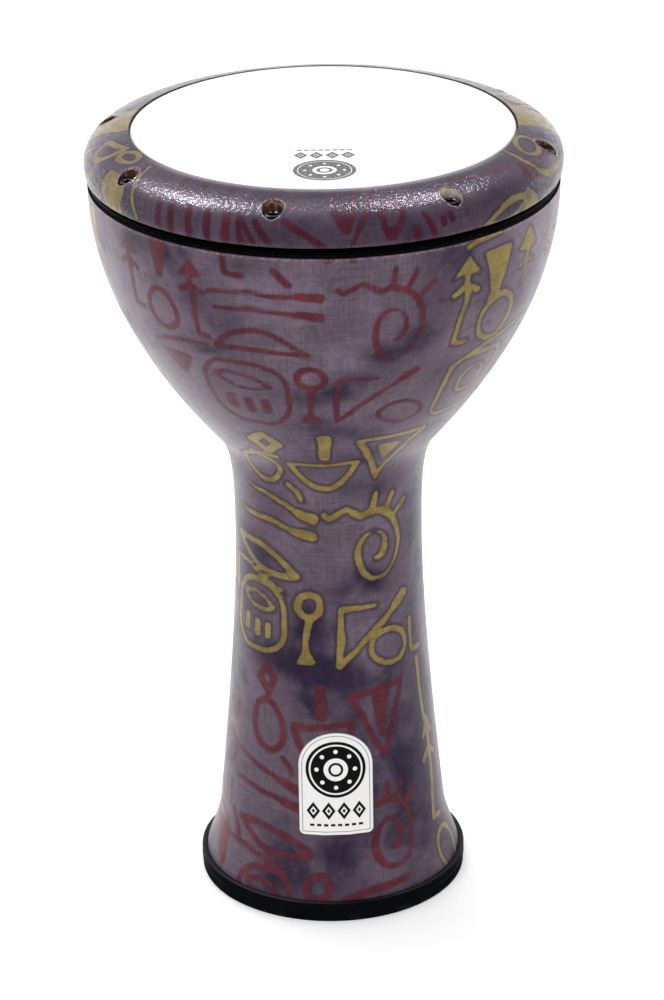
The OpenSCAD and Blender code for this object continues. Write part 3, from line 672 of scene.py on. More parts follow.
def rubber_material():
    k = Mat("moulded_rubber")
    obj = k.obj()
    g = k.noise(obj, 1400.0, 3.0, 0.6)
    big = k.noise(obj, 60.0, 4.0, 0.65)
    x, y, z = k.split(obj)
    dust = k.mul(k.ramp(big, 0.48, 0.74), k.ramp(z, 0.005, 0.0))
    col = k.mix(k.ramp(big, 0.35, 0.7), lin(5, 8, 13), lin(9, 13, 19))
    col = k.mix(k.mul(dust, 0.4), col, lin(70, 66, 62))
    rub = k.ramp(k.noise(k.scale(obj, (60.0, 60.0, 900.0)), 1.0, 3.0, 0.6), 0.58, 0.82)
    col = k.mix(k.mul(rub, 0.14), col, lin(52, 54, 60))
    return k.set(Base_Color=col, Roughness=k.madd(big, 0.18, 0.46), Specular_IOR_Level=0.11,
                 Normal=k.bump(k.add(g, k.mul(rub, 0.5)), 0.00008, 0.45))


def black_moulding_material():
    k = Mat("black_moulding")
    obj = k.obj()
    g = k.noise(obj, 2100.0, 2.0, 0.55)
    b = k.noise(obj, 75.0, 3.0, 0.6)
    col = k.mix(b, lin(3, 3, 4), lin(7, 7, 8))
    return k.set(Base_Color=col, Roughness=k.madd(b, 0.18, 0.55), Specular_IOR_Level=0.03, Normal=k.bump(g, 0.00006, 0.6))


def composite_material(name, dim=1.0, stains_painted_light_and_shade=False):
    """Bare resin composite: short glass fibres in beige resin, with trowel marks and pits."""
    k = Mat(name)
    obj = k.obj()
    f1 = k.noise(k.scale(obj, (1500.0, 260.0, 700.0)), 1.0, 3.0, 0.6, 1.2)
    f2 = k.noise(k.scale(obj, (240.0, 1500.0, 620.0)), 1.0, 3.0, 0.6, 1.2)
    fibre = k.ramp(k.high(f1, f2), 0.56, 0.70)
    cloud = k.noise(obj, 36.0, 4.0, 0.6)
    pits = k.ramp(k.node("ShaderNodeTexVoronoi", {"Vector": obj, "Scale": 260.0}, feature="F1"), 0.22, 0.08)
    col = k.mix(k.ramp(cloud, 0.3, 0.7), lin(170, 148, 116), lin(196, 176, 146))
    col = k.mix(k.mul(fibre, 0.4), col, lin(214, 200, 174))
    col = k.mix(k.mul(pits, 0.5), col, lin(120, 98, 72))
    stain = k.ramp(k.noise(obj, 150.0, 3.0, 0.6, 0.5), 0.44, 0.66)
    col = k.mix(k.mul(stain, 0.55 if stains_painted_light_and_shade else 0.2), col, lin(98, 66, 50))
    if stains_painted_light_and_shade:
        x, y, z = k.split(obj)
        r = k.math("SQRT", k.add(k.math("POWER", x, 2.0), k.math("POWER", y, 2.0)))
        blot = k.ramp(k.noise(obj, 210.0, 3.0, 0.65, 0.8), 0.38, 0.58)
        # painted light: hole walls between x 45 and 92 mm are made pale, as if lit, and their blots weakened
        pale = k.mul(k.ramp(x, 0.045, 0.058), k.ramp(x, 0.092, 0.078))
        col = k.mix(0.45, col, lin(166, 100, 80))
        col = k.mix(k.mul(blot, k.madd(pale, -0.6, 0.88)), col, lin(84, 32, 22))
        col = k.mix(k.mul(pale, k.madd(blot, -0.35, 0.95)), col, lin(250, 238, 226))
        # painted shade: hole walls beyond x -104 mm are darkened
        col = k.mix(k.mul(k.ramp(x, -0.104, -0.110), 0.8), col, lin(24, 20, 22))
        # painted shade: the hole walls darken with depth below the ring's surface
        col = k.mix(k.ramp(k.madd(stain, 0.002, z), 0.4535, 0.4440, 0.22, 0.96), col, lin(30, 16, 13))
        # painted shade: the bore facing the head is painted near-black as the gap's shadow
        col = k.mix(k.ramp(r, 0.1100, 0.1092), col, lin(14, 12, 14))
        # painted shade: the core below z 434.2 mm is painted near-black as the seam's shadow
        col = k.mix(k.mul(k.ramp(z, 0.4350, 0.4342), 0.9), col, lin(14, 12, 14))
    h = k.sub(k.add(k.mul(fibre, 0.6), k.mul(cloud, 0.8)), k.mul(pits, 1.0))
    return k.set(Base_Color=col, Roughness=k.madd(cloud, 0.2, 0.5), Specular_IOR_Level=0.4, Normal=k.bump(h, 0.00022, 0.7))


def metal_material(name, lo, hi, rough, axis_scale=(40.0, 40.0, 2200.0), coat=0.0, metallic=1.0, bump=0.35):
    k = Mat(name)
    obj = k.obj()
    st = k.noise(k.scale(obj, axis_scale), 1.0, 3.0, 0.6)
    b = k.noise(obj, 320.0, 3.0, 0.6)
    f = k.ramp(k.add(k.mul(st, 0.6), k.mul(b, 0.4)), 0.35, 0.65)
    col = k.mix(f, lo, hi)
    return k.set(Base_Color=col, Metallic=metallic, Roughness=k.madd(b, 0.22, rough), Normal=k.bump(st, 0.00004, bump),
                 Coat_Weight=coat, Coat_Roughness=0.25)


LACQUER_BODY = dict(speck=0.15, sides=1.0, thread=0.5, orange=0.5, grain=620.0, bump=0.6, coat_bump=0.34, coat_depth=0.00016, thread_coat=0.5, rough=0.55, spec=0.22, coat=0.30, coat_rough=0.33, sheen=0.06,
                    red_a=lin(92, 28, 42), red_b=lin(114, 42, 48),
                    yel_a=lin(122, 106, 46), yel_b=lin(148, 127, 64))
LACQUER_RING = dict(speck=0.4, thread=0.5, orange=0.9, grain=440.0, bump=0.6, coat_bump=1.0, coat_depth=0.00050, rough=0.5, spec=0.12, coat=0.27, coat_rough=0.215, sides=0.35, thread_coat=0.08, sheen=0.0,
                    red_a=lin(72, 18, 36), red_b=lin(90, 28, 42),
                    yel_a=lin(104, 92, 48), yel_b=lin(128, 112, 66))
M_SKIN = skin_material("printed_cotton", 0.060, 0.112, 0.268, lin(96, 80, 95), lin(126, 109, 127), lin(38, 24, 56), LACQUER_BODY)
M_SKIN_RING = skin_material("printed_cotton_lacquered", 0.125, 0.125, 0.0, lin(74, 59, 75), lin(96, 80, 102), lin(38, 22, 54), LACQUER_RING)
M_HEAD = head_material()
M_BADGE = badge_material()
M_RUBBER = rubber_material()
M_BLACK = black_moulding_material()
M_SHELL = composite_material("shell_composite")
M_RINGCORE = composite_material("ring_composite", 0.8, True)
M_HOOP = metal_material("rolled_aluminium", lin(186, 187, 190), lin(214, 215, 218), 0.26)
M_BOLT = metal_material("black_oxide_steel", lin(30, 30, 33), lin(48, 47, 50), 0.30, (60.0, 60.0, 900.0), 0.1, 0.85)
M_WASHER = metal_material("zinc_steel", lin(172, 174, 178), lin(206, 207, 208), 0.30, (300.0, 300.0, 300.0))
M_BRASS = metal_material("turned_brass", lin(178, 142, 72), lin(206, 170, 96), 0.24)


def dress(node, material):
    o = NODES[node]
    o.data.materials.clear()
    o.data.materials.append(material)
    o.data.polygons.foreach_set("use_smooth", np.ones(len(o.data.polygons), bool))
    o.data.set_sharp_from_angle(angle=math.radians(30))


# ---------------------------------------------------------------- printed skin of the shell
# where the dye pooled: angle, arc length, spread in angle and in length, depth
DYE = [
    (-52, 440, 6, 8, 0.5), (-39, 440, 5, 10, 0.6), (-33, 416, 5, 12, 0.35), (-26, 400, 5, 14, 0.6), (-32, 383, 8, 5, 0.5), (-20, 440, 6, 6, 0.25),
    (30, 438, 7, 12, 0.65), (27, 415, 7, 14, 0.6), (24, 395, 7, 10, 0.55), (17, 383, 8, 8, 0.6), (10, 368, 9, 8, 0.6), (0, 356, 10, 8, 0.5), (-9, 350, 8, 8, 0.3),
    (45, 420, 6, 14, 0.35), (58, 400, 6, 20, 0.35), (36, 358, 9, 14, 0.3), (-5, 325, 10, 12, 0.4), (15, 318, 12, 8, 0.35), (-4, 284, 16, 12, 0.25), (20, 290, 18, 12, 0.35),
    (25, 262, 18, 8, 0.5), (-40, 250, 14, 14, 0.35), (-50, 212, 18, 11, 0.65), (20, 201, 20, 10, 0.6), (62, 232, 12, 30, 0.3), (-12, 172, 14, 26, 0.75), (-60, 184, 12, 14, 0.4),
    (-20, 150, 32, 9, 0.75), (20, 141, 20, 10, 0.55), (60, 172, 12, 20, 0.45), (-12, 128, 16, 12, 0.5), (12, 112, 14, 18, 0.5), (44, 92, 16, 52, 0.6), (2, 35, 32, 12, 0.45),
    (-28, 20, 8, 10, 0.5), (-56, 88, 8, 18, 0.2), (-40, 160, 14, 8, 0.4),
    (74, 224, 12, 28, 0.70), (-61, 208, 11, 26, 0.75), (-45, 186, 9, 9, 0.35), (-18, 178, 14, 8, 0.30), (6, 196, 7, 8, 0.35), (66, 100, 12, 52, 0.85), (80, 19, 10, 18, 0.75), (-68, 130, 9, 10, 0.35), (-8, 371, 7, 9, -0.25),
    (21, 77, 8, 16, 0.32), (-23, 310, 7, 7, 0.30), (-16, 19, 14, 8, 0.32), (-28, 394, 6, 12, -0.28), (25, 410, 9, 24, -0.24), (9, 373, 8, 10, -0.28), (25, 146, 9, 9, -0.33),
    (42, 125, 9, 9, -0.28), (24, 30, 12, 14, -0.2), (61, 421, 8, 15, -0.42),
    (110, 380, 16, 50, 0.45), (140, 420, 10, 16, 0.5), (170, 330, 40, 24, 0.5), (205, 400, 22, 40, 0.45), (235, 350, 20, 20, 0.5), (262, 400, 14, 40, 0.4), (285, 330, 20, 20, 0.4),
    (120, 210, 50, 24, 0.5), (200, 150, 60, 26, 0.5), (255, 230, 30, 40, 0.4), (170, 60, 50, 24, 0.4), (120, 100, 24, 30, 0.45), (225, 260, 30, 16, 0.5), (275, 110, 20, 40, 0.35),
]


def build_shell_skin():
    cols, rows = 400, 192
    s_out = np.concatenate([np.linspace(0.0, BODY.length - 4.4, rows - 11), BODY.length - np.array([3.4, 2.8, 2.4, 2.05, 1.75, 1.5, 1.2, 0.45, 0.25, 0.09])])
    p, n = BODY.at(s_out), BODY.normal(s_out)
    th = math.radians(-90) + np.arange(cols) * 2 * math.pi / cols
    phi = np.degrees(th) + 90
    phi = (phi + 180) % 360 - 180
    R = np.repeat(p[:, :1], cols, 1)
    Z = np.repeat(p[:, 1:], cols, 1)
    P = np.stack([R * np.cos(th), R * np.sin(th), Z], -1)
    flat = P.reshape(-1, 3)
    # cloth laid by hand: slow waves under the lacquer, and a lap joint up the back
    wave = 0.20 * (vnoise(flat, 34.0, 11) - 0.5) + 0.08 * (vnoise(flat, 11.0, 12) - 0.5)
    arc = np.radians((np.repeat(phi[None], rows - 1, 0) - 180 + 180) % 360 - 180) * R
    lap_shift = 1.2 * (vnoise(np.stack([Z * 0, Z * 0, Z], -1).reshape(-1, 3), 30.0, 13).reshape(R.shape) - 0.5)
    a = arc + lap_shift
    lap = 0.34 * smooth(a, -1.6, -0.4) * (1 - smooth(a, 9.0, 16.0))
    quiet = smooth(Z, 14, 22) * (1 - smooth(Z, 423, 427))
    off = (wave.reshape(R.shape) + lap) * quiet
    off[-1] -= 0.12
    P[..., 0] += off * n[:, None, 0] * np.cos(th)
    P[..., 1] += off * n[:, None, 0] * np.sin(th)
    P[..., 2] += off * n[:, None, 1]
    s_in = np.concatenate([np.linspace(BODY.length, 300, 14)[:-1], np.linspace(300, 240, 18)[:-1], np.linspace(240, 60, 10)[:-1], np.linspace(60, 0, 12)])
    pi, ni = BODY.at(s_in), BODY.normal(s_in)
    q = pi - ni * SKIN_T
    q[0, 1] = 428.0
    Ri, Zi = np.repeat(q[:, :1], cols, 1), np.repeat(q[:, 1:], cols, 1)
    I = np.stack([Ri * np.cos(th), Ri * np.sin(th), Zi], -1)
    V = np.concatenate([P, I])
    total = len(V)
    ob = new_mesh("shell_skin", V.reshape(-1, 3) * MM, grid_faces(total, cols, True, True), 40.0)
    s_all = np.concatenate([np.repeat(s_out[:, None], cols, 1), np.repeat(s_in[:, None], cols, 1)]).ravel()
    phi_all = np.tile(phi, total)
    rad = np.concatenate([R, Ri]).ravel()
    flat = V.reshape(-1, 3)
    red, yel = print_fields(flat, phi_all, s_all, rad, BODY_PRINT)
    outer = np.arange(len(flat)) < (rows - 1) * cols
    red[~outer] = 9
    yel[~outer] = 9
    set_float(ob, "ink_red", red)
    set_float(ob, "ink_yellow", yel)
    dye_and_painted_shade = np.zeros(len(flat))
    for p0, s0, wp, ws, k in DYE:
        dp = (phi_all - p0 + 180) % 360 - 180
        dye_and_painted_shade += k * np.exp(-(dp / wp) ** 2 - ((s_all - s0) / ws) ** 2)
    # painted shade: the cloth darkens towards the foot, where less light reaches
    dye_and_painted_shade += 0.24 * (1 - smooth(s_all, 40, 165))
    set_float(ob, "dye_and_painted_shade", dye_and_painted_shade)
    # painted shade: the cloth's top edge under the ring is marked for near-black, as the seam's shadow
    edge_fray_and_painted_light = smooth(s_all, BODY.length - 1.75, BODY.length - 1.3)
    # a pale fringe of cut threads under the painted black shade band, also painted light that lifts the shade under the
    # ring's overhang
    edge_fray_and_painted_light = 0.32 * np.exp(-((s_all - BODY.length + 2.35) / 0.55) ** 2) * (1 - edge_fray_and_painted_light) - edge_fray_and_painted_light
    set_float(ob, "edge_fray_and_painted_light", edge_fray_and_painted_light)
    set_uv(ob, "skin", np.stack([np.radians(phi_all), s_all * MM], 1), 2 * math.pi)
    ob.data.materials.append(M_SKIN)
    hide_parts("shell_wrap")
    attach(ob, "drum_body")
    return ob


# ---------------------------------------------------------------- printed skin of the tuning ring
def build_ring_skin():
    cols = 864
    step = BOLT_R * 2 * math.pi / cols
    m_half = 5
    h = m_half * step
    # rows: by arc length up the side, then by plan radius across the crown
    top_r = BOLT_R + step * np.arange(7, -19, -1)
    top_r = top_r[top_r > RING[3][0] + 0.35]
    k_max = int(np.argmax(RINGC.p[:, 0]))
    s_top = np.interp(-top_r, -RINGC.p[k_max:, 0], RINGC.s[k_max:])
    side = np.linspace(0.0, s_top[0], 14)[:-1]
    s_rows = np.concatenate([side, s_top, [RINGC.length - 0.12, RINGC.length]])
    rows = len(s_rows)
    first_top = len(side)
    th = np.radians(BOLT_A) + np.arange(cols) * 2 * math.pi / cols
    per = cols // BOLTS
    P = np.zeros((rows, cols, 3))
    N = np.zeros((rows, cols, 3))
    prof, nrm = RINGC.at(s_rows), RINGC.normal(s_rows)
    TH = np.repeat(th[None], rows, 0)
    RR = np.repeat(prof[:, :1], cols, 1)
    SS = np.repeat(s_rows[:, None], cols, 1)
    b = np.repeat((prof[:, 0] - BOLT_R)[:, None], cols, 1)
    j = np.arange(cols)
    jj = (j + per // 2) % per - per // 2
    a = np.repeat((jj * step)[None], rows, 0)
    kk = ((j + per // 2) // per) % BOLTS
    crown = np.repeat((np.arange(rows) >= first_top)[:, None], cols, 1)
    rho = np.maximum(np.abs(a), np.abs(b)) / h
    lim = 1.4
    hit = crown & (rho < lim + 1e-6)
    axis = np.radians(BOLT_A) + np.repeat(kk[None], rows, 0) * 2 * math.pi / BOLTS
    ang = np.arctan2(a, b)
    rough = vnoise(np.stack([np.cos(ang) * 3, np.sin(ang) * 3, axis * 7], -1).reshape(-1, 3), 1.3, 21).reshape(ang.shape) - 0.5
    fuzz = vnoise(np.stack([np.cos(ang) * 3, np.sin(ang) * 3, axis * 11], -1).reshape(-1, 3), 0.42, 23).reshape(ang.shape) - 0.5
    hole_r = BORE_R + 0.18 + 0.40 * rough + 0.34 * fuzz
    circ = hole_r + (rho - 1) * h
    w = smooth(rho, 1.0, lim)
    ux, uy = np.cos(ang), np.sin(ang)
    dth = TH - axis
    dth = (dth + math.pi) % (2 * math.pi) - math.pi
    px, py = RR * np.cos(dth) - BOLT_R, RR * np.sin(dth)
    qx, qy = px * w + circ * ux * (1 - w), py * w + circ * uy * (1 - w)
    X, Y = BOLT_R + qx, qy
    R2, D2 = np.hypot(X, Y), np.arctan2(Y, X)
    RR = np.where(hit, R2, RR)
    TH = np.where(hit, axis + D2, TH)
    SS = np.where(hit, np.interp(-RR, -RINGC.p[k_max:, 0], RINGC.s[k_max:]), SS)
    pz, nz = RINGC.at(SS), RINGC.normal(SS)
    inside = crown & (rho < 1 - 1e-6)
    flat = np.stack([RR * np.cos(TH), RR * np.sin(TH), pz[..., 1]], -1).reshape(-1, 3)
    dist = np.hypot(RR * np.cos(TH - axis) - BOLT_R, RR * np.sin(TH - axis))
    lipness = np.exp(-((dist - hole_r) / 0.95) ** 2) * (dist > hole_r - 0.6) * crown
    quiet = np.repeat((smooth(s_rows, 1.0, 4.0) * (1 - smooth(s_rows, RINGC.length - 4.0, RINGC.length - 1.0)))[:, None], cols, 1)
    off = ((0.24 * (vnoise(flat, 26.0, 31) - 0.5) + 0.10 * (vnoise(flat, 8.0, 32) - 0.5)).reshape(RR.shape)) * quiet + 0.16 * lipness
    off[0] -= 0.10
    off[-1] -= 0.08

    def solid(d):
        r = prof_r + nz[..., 0] * d
        z = pz[..., 1] + nz[..., 1] * d
        return np.stack([r * np.cos(TH), r * np.sin(TH), z], -1)

    prof_r = np.where(hit, RR, pz[..., 0])
    outer, inner = solid(off), solid(np.full(RR.shape, -SKIN_T))
    # the cut wall inside each hole drops straight down instead of along the normal
    edge = crown & (np.abs(rho - 1) < 1e-6)
    inner[edge] = outer[edge] - np.array([0, 0, 0.75])
    idx = np.arange(rows * cols).reshape(rows, cols)
    f = grid_faces(rows, cols, True, False)
    cell_r, cell_c = np.divmod(np.arange(len(f)), cols)
    # a cell is in a hole if all four corners are at rho <= 1
    rho_f = rho.ravel()
    crown_f = crown.ravel()
    in_hole = (rho_f[f] <= 1 + 1e-6).all(1) & crown_f[f].all(1)
    keep = f[~in_hole]
    n = rows * cols
    faces = [keep, keep[:, ::-1] + n]
    # rims: lower edge, upper edge, and each hole
    c, c2 = np.arange(cols), (np.arange(cols) + 1) % cols
    faces.append(np.stack([idx[0, c2], idx[0, c], idx[0, c] + n, idx[0, c2] + n], 1))
    faces.append(np.stack([idx[-1, c], idx[-1, c2], idx[-1, c2] + n, idx[-1, c] + n], 1))
    e = np.concatenate([keep[:, [0, 1]], keep[:, [1, 2]], keep[:, [2, 3]], keep[:, [3, 0]]])
    key = e[:, 0].astype(np.int64) * (2 * n) + e[:, 1]
    back = e[:, 1].astype(np.int64) * (2 * n) + e[:, 0]
    lone = ~np.isin(key, back)
    le = e[lone]
    on_rim = (le < cols).all(1) | (le >= (rows - 1) * cols).all(1)
    le = le[~on_rim]
    faces.append(np.stack([le[:, 1], le[:, 0], le[:, 0] + n, le[:, 1] + n], 1))
    V = np.concatenate([outer.reshape(-1, 3), inner.reshape(-1, 3)])
    F = np.concatenate(faces)
    used = np.zeros(len(V), bool)
    used[F.ravel()] = True
    remap = np.cumsum(used) - 1
    V, F = V[used], remap[F]
    ob = new_mesh("ring_skin", V * MM, F, 40.0)
    phi = (np.degrees(TH) + 90 + 180) % 360 - 180
    phi_all = np.concatenate([phi.ravel(), phi.ravel()])[used]
    s_all = np.concatenate([SS.ravel(), SS.ravel()])[used]
    r_all = np.full(len(V), 125.0)
    is_outer = (np.arange(2 * n) < n)[used]
    red, yel = print_fields(V, phi_all, s_all, r_all, RING_PRINT)
    red[~is_outer] = 9
    yel[~is_outer] = 9
    edge_fray_and_painted_light = np.concatenate([np.clip((1.0 - (dist - hole_r) / 0.55), 0, 1).ravel() * crown.ravel(), (crown & (np.abs(rho - 1) < 1e-6)).ravel().astype(float)])[used]
    set_float(ob, "ink_red", red)
    set_float(ob, "ink_yellow", yel)
    # painted highlight: a faint pale band along the ring's lower edge; round the holes the value marks pale cut threads
    set_float(ob, "edge_fray_and_painted_light", np.maximum(edge_fray_and_painted_light * 0.9, 0.09 * np.exp(-((s_all - 1.3) / 0.8) ** 2)))
    # painted reflection of the white head along the ring's inner edge, strongest towards the player
    set_float(ob, "painted_head_reflection", np.exp(-((s_all - RINGC.length) / 2.4) ** 2) * 0.5 * smooth(np.cos(np.radians(phi_all)), 0.35, 0.75))
    dye_and_painted_shade = np.zeros(len(V))
    for p0, wp, k in ((-64, 10, 0.35), (-14, 10, 0.2), (10, 8, 0.3), (44, 12, 0.35), (95, 16, 0.4), (150, 14, 0.35), (190, 12, 0.4), (240, 16, 0.4)):
        dp = (phi_all - p0 + 0.6 * (s_all - 20) + 180) % 360 - 180
        dye_and_painted_shade += k * np.exp(-(dp / wp) ** 2)
    # painted shade: the crown is darkened on the half facing the player, where the top light falls
    dye_and_painted_shade += 0.34 * smooth(s_all, 20, 32) * smooth(np.cos(np.radians(phi_all)), -0.2, 0.5)
    set_float(ob, "dye_and_painted_shade", dye_and_painted_shade)
    set_uv(ob, "skin", np.stack([np.radians(phi_all), s_all * MM], 1), 2 * math.pi)
    ob.data.materials.append(M_SKIN_RING)
    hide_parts("ring_wrap")
    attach(ob, "ring_assembly")
    return ob


# ---------------------------------------------------------------- drumhead
def build_head():
    cols = 256
    r_flat = np.array([1.6, 4, 8, 14, 22, 31, 41, 51, 60, 68, 76, 83, 89, 94, 98, 100.5, 102.2, 103.0])
    sag = lambda r: -0.05 * (1 - (r / 103.0) ** 2)
    bend, t, sk = 2.75, 0.25, 105.75
    top = [(r, TOP + sag(r)) for r in r_flat]
    arc = [(sk - bend + bend * math.cos(math.radians(a)), TOP - bend + bend * math.sin(math.radians(a))) for a in range(80, -1, -10)]
    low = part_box("drumhead")[0].z / MM
    skirt = [(sk, z) for z in np.linspace(TOP - bend - 1.5, low + 0.1, 9)]
    inner = [(sk - t * 0.5, low), (sk - t, low + 0.1)] + [(sk - t, z) for z in np.linspace(low + 1.5, TOP - bend, 9)]
    arc_in = [(sk - bend + (bend - t) * math.cos(math.radians(a)), TOP - bend + (bend - t) * math.sin(math.radians(a))) for a in range(10, 91, 10)]
    under = [(r, TOP - t + sag(r)) for r in r_flat[-2::-1]]
    prof = np.array((top + arc + skirt + inner + arc_in + under)[::-1])
    th = np.arange(cols) * 2 * math.pi / cols
    V = np.stack([prof[:, :1] * np.cos(th), prof[:, :1] * np.sin(th), np.repeat(prof[:, 1:], cols, 1)], -1).reshape(-1, 3)
    rows = len(prof)
    F = grid_faces(rows, cols, True, False).tolist()
    c_low, c_top = len(V), len(V) + 1
    V = np.concatenate([V, [[0, 0, TOP - t + sag(0)], [0, 0, TOP + sag(0)]]])
    F += [[(j + 1) % cols, j, c_low] for j in range(cols)]
    F += [[(rows - 1) * cols + j, (rows - 1) * cols + (j + 1) % cols, c_top] for j in range(cols)]
    ob = new_mesh("drumhead_film", V * MM, F, 50.0)
    ob.data.materials.append(M_HEAD)
    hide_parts("drumhead")
    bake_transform(ob)
    return ob


# ---------------------------------------------------------------- rubber foot ring
def build_foot():
    in_r = 74.4 - SKIN_T - 6.0
    prof = [
        (in_r - 1.8, 0.0, 0.6), (68.5, 0.0), (68.9, 0.45, 0.2), (69.9, 0.45, 0.2), (70.3, 0.0), (73.2, 0.0), (73.6, 0.45, 0.2), (74.6, 0.45, 0.2), (75.0, 0.0),
        (RUBBER_R - 0.5, 0.0, 1.1), (RUBBER_R - 0.12, 5.6), (RUBBER_R, 6.6, 0.3), (RUBBER_R - 0.25, 7.1, 0.3), (RUBBER_R - 0.1, 8.0), (RUBBER_R - 0.05, RUBBER_H, 1.25), (74.42, RUBBER_H, 0.5), (74.42, 3.0),
        (in_r, 3.0), (in_r, 10.0, 0.5), (in_r - 0.9, 11.0, 0.5), (in_r - 2.6, 11.0, 0.9), (in_r - 2.6, 0.6, 0.5)]
    path = np.array(fillet_path(prof, 5))

    def wobble(r, z, th):
        pos = np.stack([r * np.cos(th), r * np.sin(th), z], -1).reshape(-1, 3)
        k = (vnoise(pos, 22.0, 41) - 0.5).reshape(r.shape)
        outer = smooth(r, 75.5, 77.0)
        return 0.22 * k * outer, 0.35 * (vnoise(pos * [1, 1, 0.2], 40.0, 42).reshape(r.shape) - 0.5) * smooth(z, 11, 14) * smooth(r, 73.0, 75.0)

    ob = lathe("foot_rubber", path, 320, True, wobble, 40.0)
    ob.data.materials.append(M_RUBBER)
    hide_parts("foot_ring")
    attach(ob, "drum_body")
    return ob


# ---------------------------------------------------------------- badge, curved to the stem
def build_badge():
    w, h, z0, rc, t = BADGE["w"], BADGE["h"], BADGE["z"], BADGE["r"], BADGE["t"]

    def outline(inset):
        pts = [((w / 2 - inset) * math.cos(math.radians(a)), h / 2 - w / 2 + (w / 2 - inset) * math.sin(math.radians(a))) for a in range(0, 181, 5)]
        x, y, r = w / 2 - inset, -h / 2 + inset, max(rc - inset, 0.4)
        pts += [(-x, h / 2 - w / 2 - 12.0), (-x, y + 12.0)]
        pts += [(-x + r + r * math.cos(math.radians(a)), y + r + r * math.sin(math.radians(a))) for a in range(180, 271, 15)]
        pts += [(-x / 3, y), (x / 3, y)]
        pts += [(x - r + r * math.cos(math.radians(a)), y + r + r * math.sin(math.radians(a))) for a in range(270, 361, 15)]
        pts += [(x, y + 12.0), (x, h / 2 - w / 2 - 12.0)]
        return np.array(pts)

    full = outline(0.0)
    loops, ups, rim = [], [], []
    for f in (0.12, 0.3, 0.5, 0.68, 0.82, 0.93):
        loops.append(outline(0.45) * f)
        ups.append(t)
        rim.append(0)
    # the last number of each loop is its share of the painted grey shade on the bevel and sides
    for inset, up, e in ((0.45, t, 0.0), (0.26, t - 0.03, 0.35), (0.10, t - 0.14, 0.8), (0.0, t - 0.34, 1.0), (0.0, 0.1, 1.0), (0.0, -0.12, 1.0)):
        loops.append(outline(inset))
        ups.append(up)
        rim.append(e)
    for f in (0.9, 0.6, 0.3, 0.12):
        loops.append(full * f)
        ups.append(-0.12)
        rim.append(1)
    n = len(full)
    V, uv, rr = [], [], []
    a0 = math.radians(BADGE["a"])

    def put(x, y, up, e):
        z = z0 + y
        s = np.interp(z, BODY.p[:, 1], BODY.s)
        p, nn = BODY.at(s), BODY.normal(s)
        r, zz = p[0] + up * nn[0], p[1] + up * nn[1]
        a = a0 + math.asin(x / r)
        V.append((r * math.cos(a), r * math.sin(a), zz))
        uv.append((x, y))
        rr.append(e)

    for loop, up, e in zip(loops, ups, rim):
        for x, y in loop:
            put(x, y, up, e)
    rows = len(loops)
    F = grid_faces(rows, n, True, False)[:, ::-1].tolist()
    put(0, 0, t, 0)
    put(0, 0, -0.12, 1)
    ct, cb = rows * n, rows * n + 1
    F += [[j, (j + 1) % n, ct] for j in range(n)]
    F += [[(rows - 1) * n + (j + 1) % n, (rows - 1) * n + j, cb] for j in range(n)]
    ob = new_mesh("badge_plate", np.array(V) * MM, F, 60.0)
    set_uv(ob, "badge", np.array(uv))
    set_float(ob, "rim", rr)
    ob.data.materials.append(M_BADGE)
    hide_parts("badge")
    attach(ob, "drum_body")
    return ob


# ---------------------------------------------------------------- tuning bolts
def bolt_arrays():
    n = 48
    th = np.arange(n) * 2 * math.pi / n
    head_z = SEAT_Z + WASHER_T
    top = head_z + 6.0
    tip = head_z - 25.0
    loops = []

    def loop(r, z, tooth=0.0):
        rr = r - tooth * (np.arange(n) % 2)
        loops.append(np.stack([rr * np.cos(th), rr * np.sin(th), np.full(n, z)], 1))

    # thread, from the tip up
    loop(1.75, tip)
    loop(2.15, tip)
    pitch, k = 1.0, 7
    z_run = tip + 0.25 + np.arange(int((25.0 - 3.0) * k)) * pitch / k
    for z in z_run:
        ph = (z / pitch - th / (2 * math.pi)) % 1.0
        vee = np.abs(ph - 0.5) * 2
        r = 2.42 + 0.50 * smooth(vee, 0.12, 0.9)
        r = np.minimum(r, 2.2 + (z - tip) * 0.8)
        run_out = smooth(np.array([z]), head_z - 4.2, head_z - 3.2)[0]
        r = r * (1 - run_out) + 2.93 * run_out
        loops.append(np.stack([r * np.cos(th), r * np.sin(th), np.full(n, z)], 1))
    loop(2.93, head_z - 0.5)
    loop(3.15, head_z - 0.12)
    loop(3.3, head_z)
    loop(4.72, head_z)
    loop(4.98, head_z + 0.25)
    for z in np.linspace(head_z + 0.6, top - 1.2, 5):
        loop(5.0, z, 0.17)
    loop(4.98, top - 0.75)
    loop(4.86, top - 0.3)
    loop(4.55, top - 0.03)
    loop(4.3, top)
    loop(3.35, top)

    def hexa(af, z, blend=0.0, rc=0.0):
        a = (th + math.pi / 6) % (math.pi / 3) - math.pi / 6
        r = af / 2 / np.cos(a)
        r = r * (1 - blend) + rc * blend
        loops.append(np.stack([r * np.cos(th), r * np.sin(th), np.full(n, z)], 1))

    hexa(5.05, top - 0.02, 0.85, 3.15)
    hexa(5.02, top - 0.38)
    hexa(5.0, top - 2.7)
    hexa(4.9, top - 2.98)
    loop(1.4, top - 3.15)
    loop(0.5, top - 3.55)
    V = np.concatenate(loops)
    rows = len(loops)
    F = grid_faces(rows, n, True, False).tolist()
    V = np.concatenate([V, [[0, 0, tip], [0, 0, top - 3.7]]])
    F += [[(j + 1) % n, j, rows * n] for j in range(n)]
    F += [[(rows - 1) * n + j, (rows - 1) * n + (j + 1) % n, rows * n + 1] for j in range(n)]
    return V, F


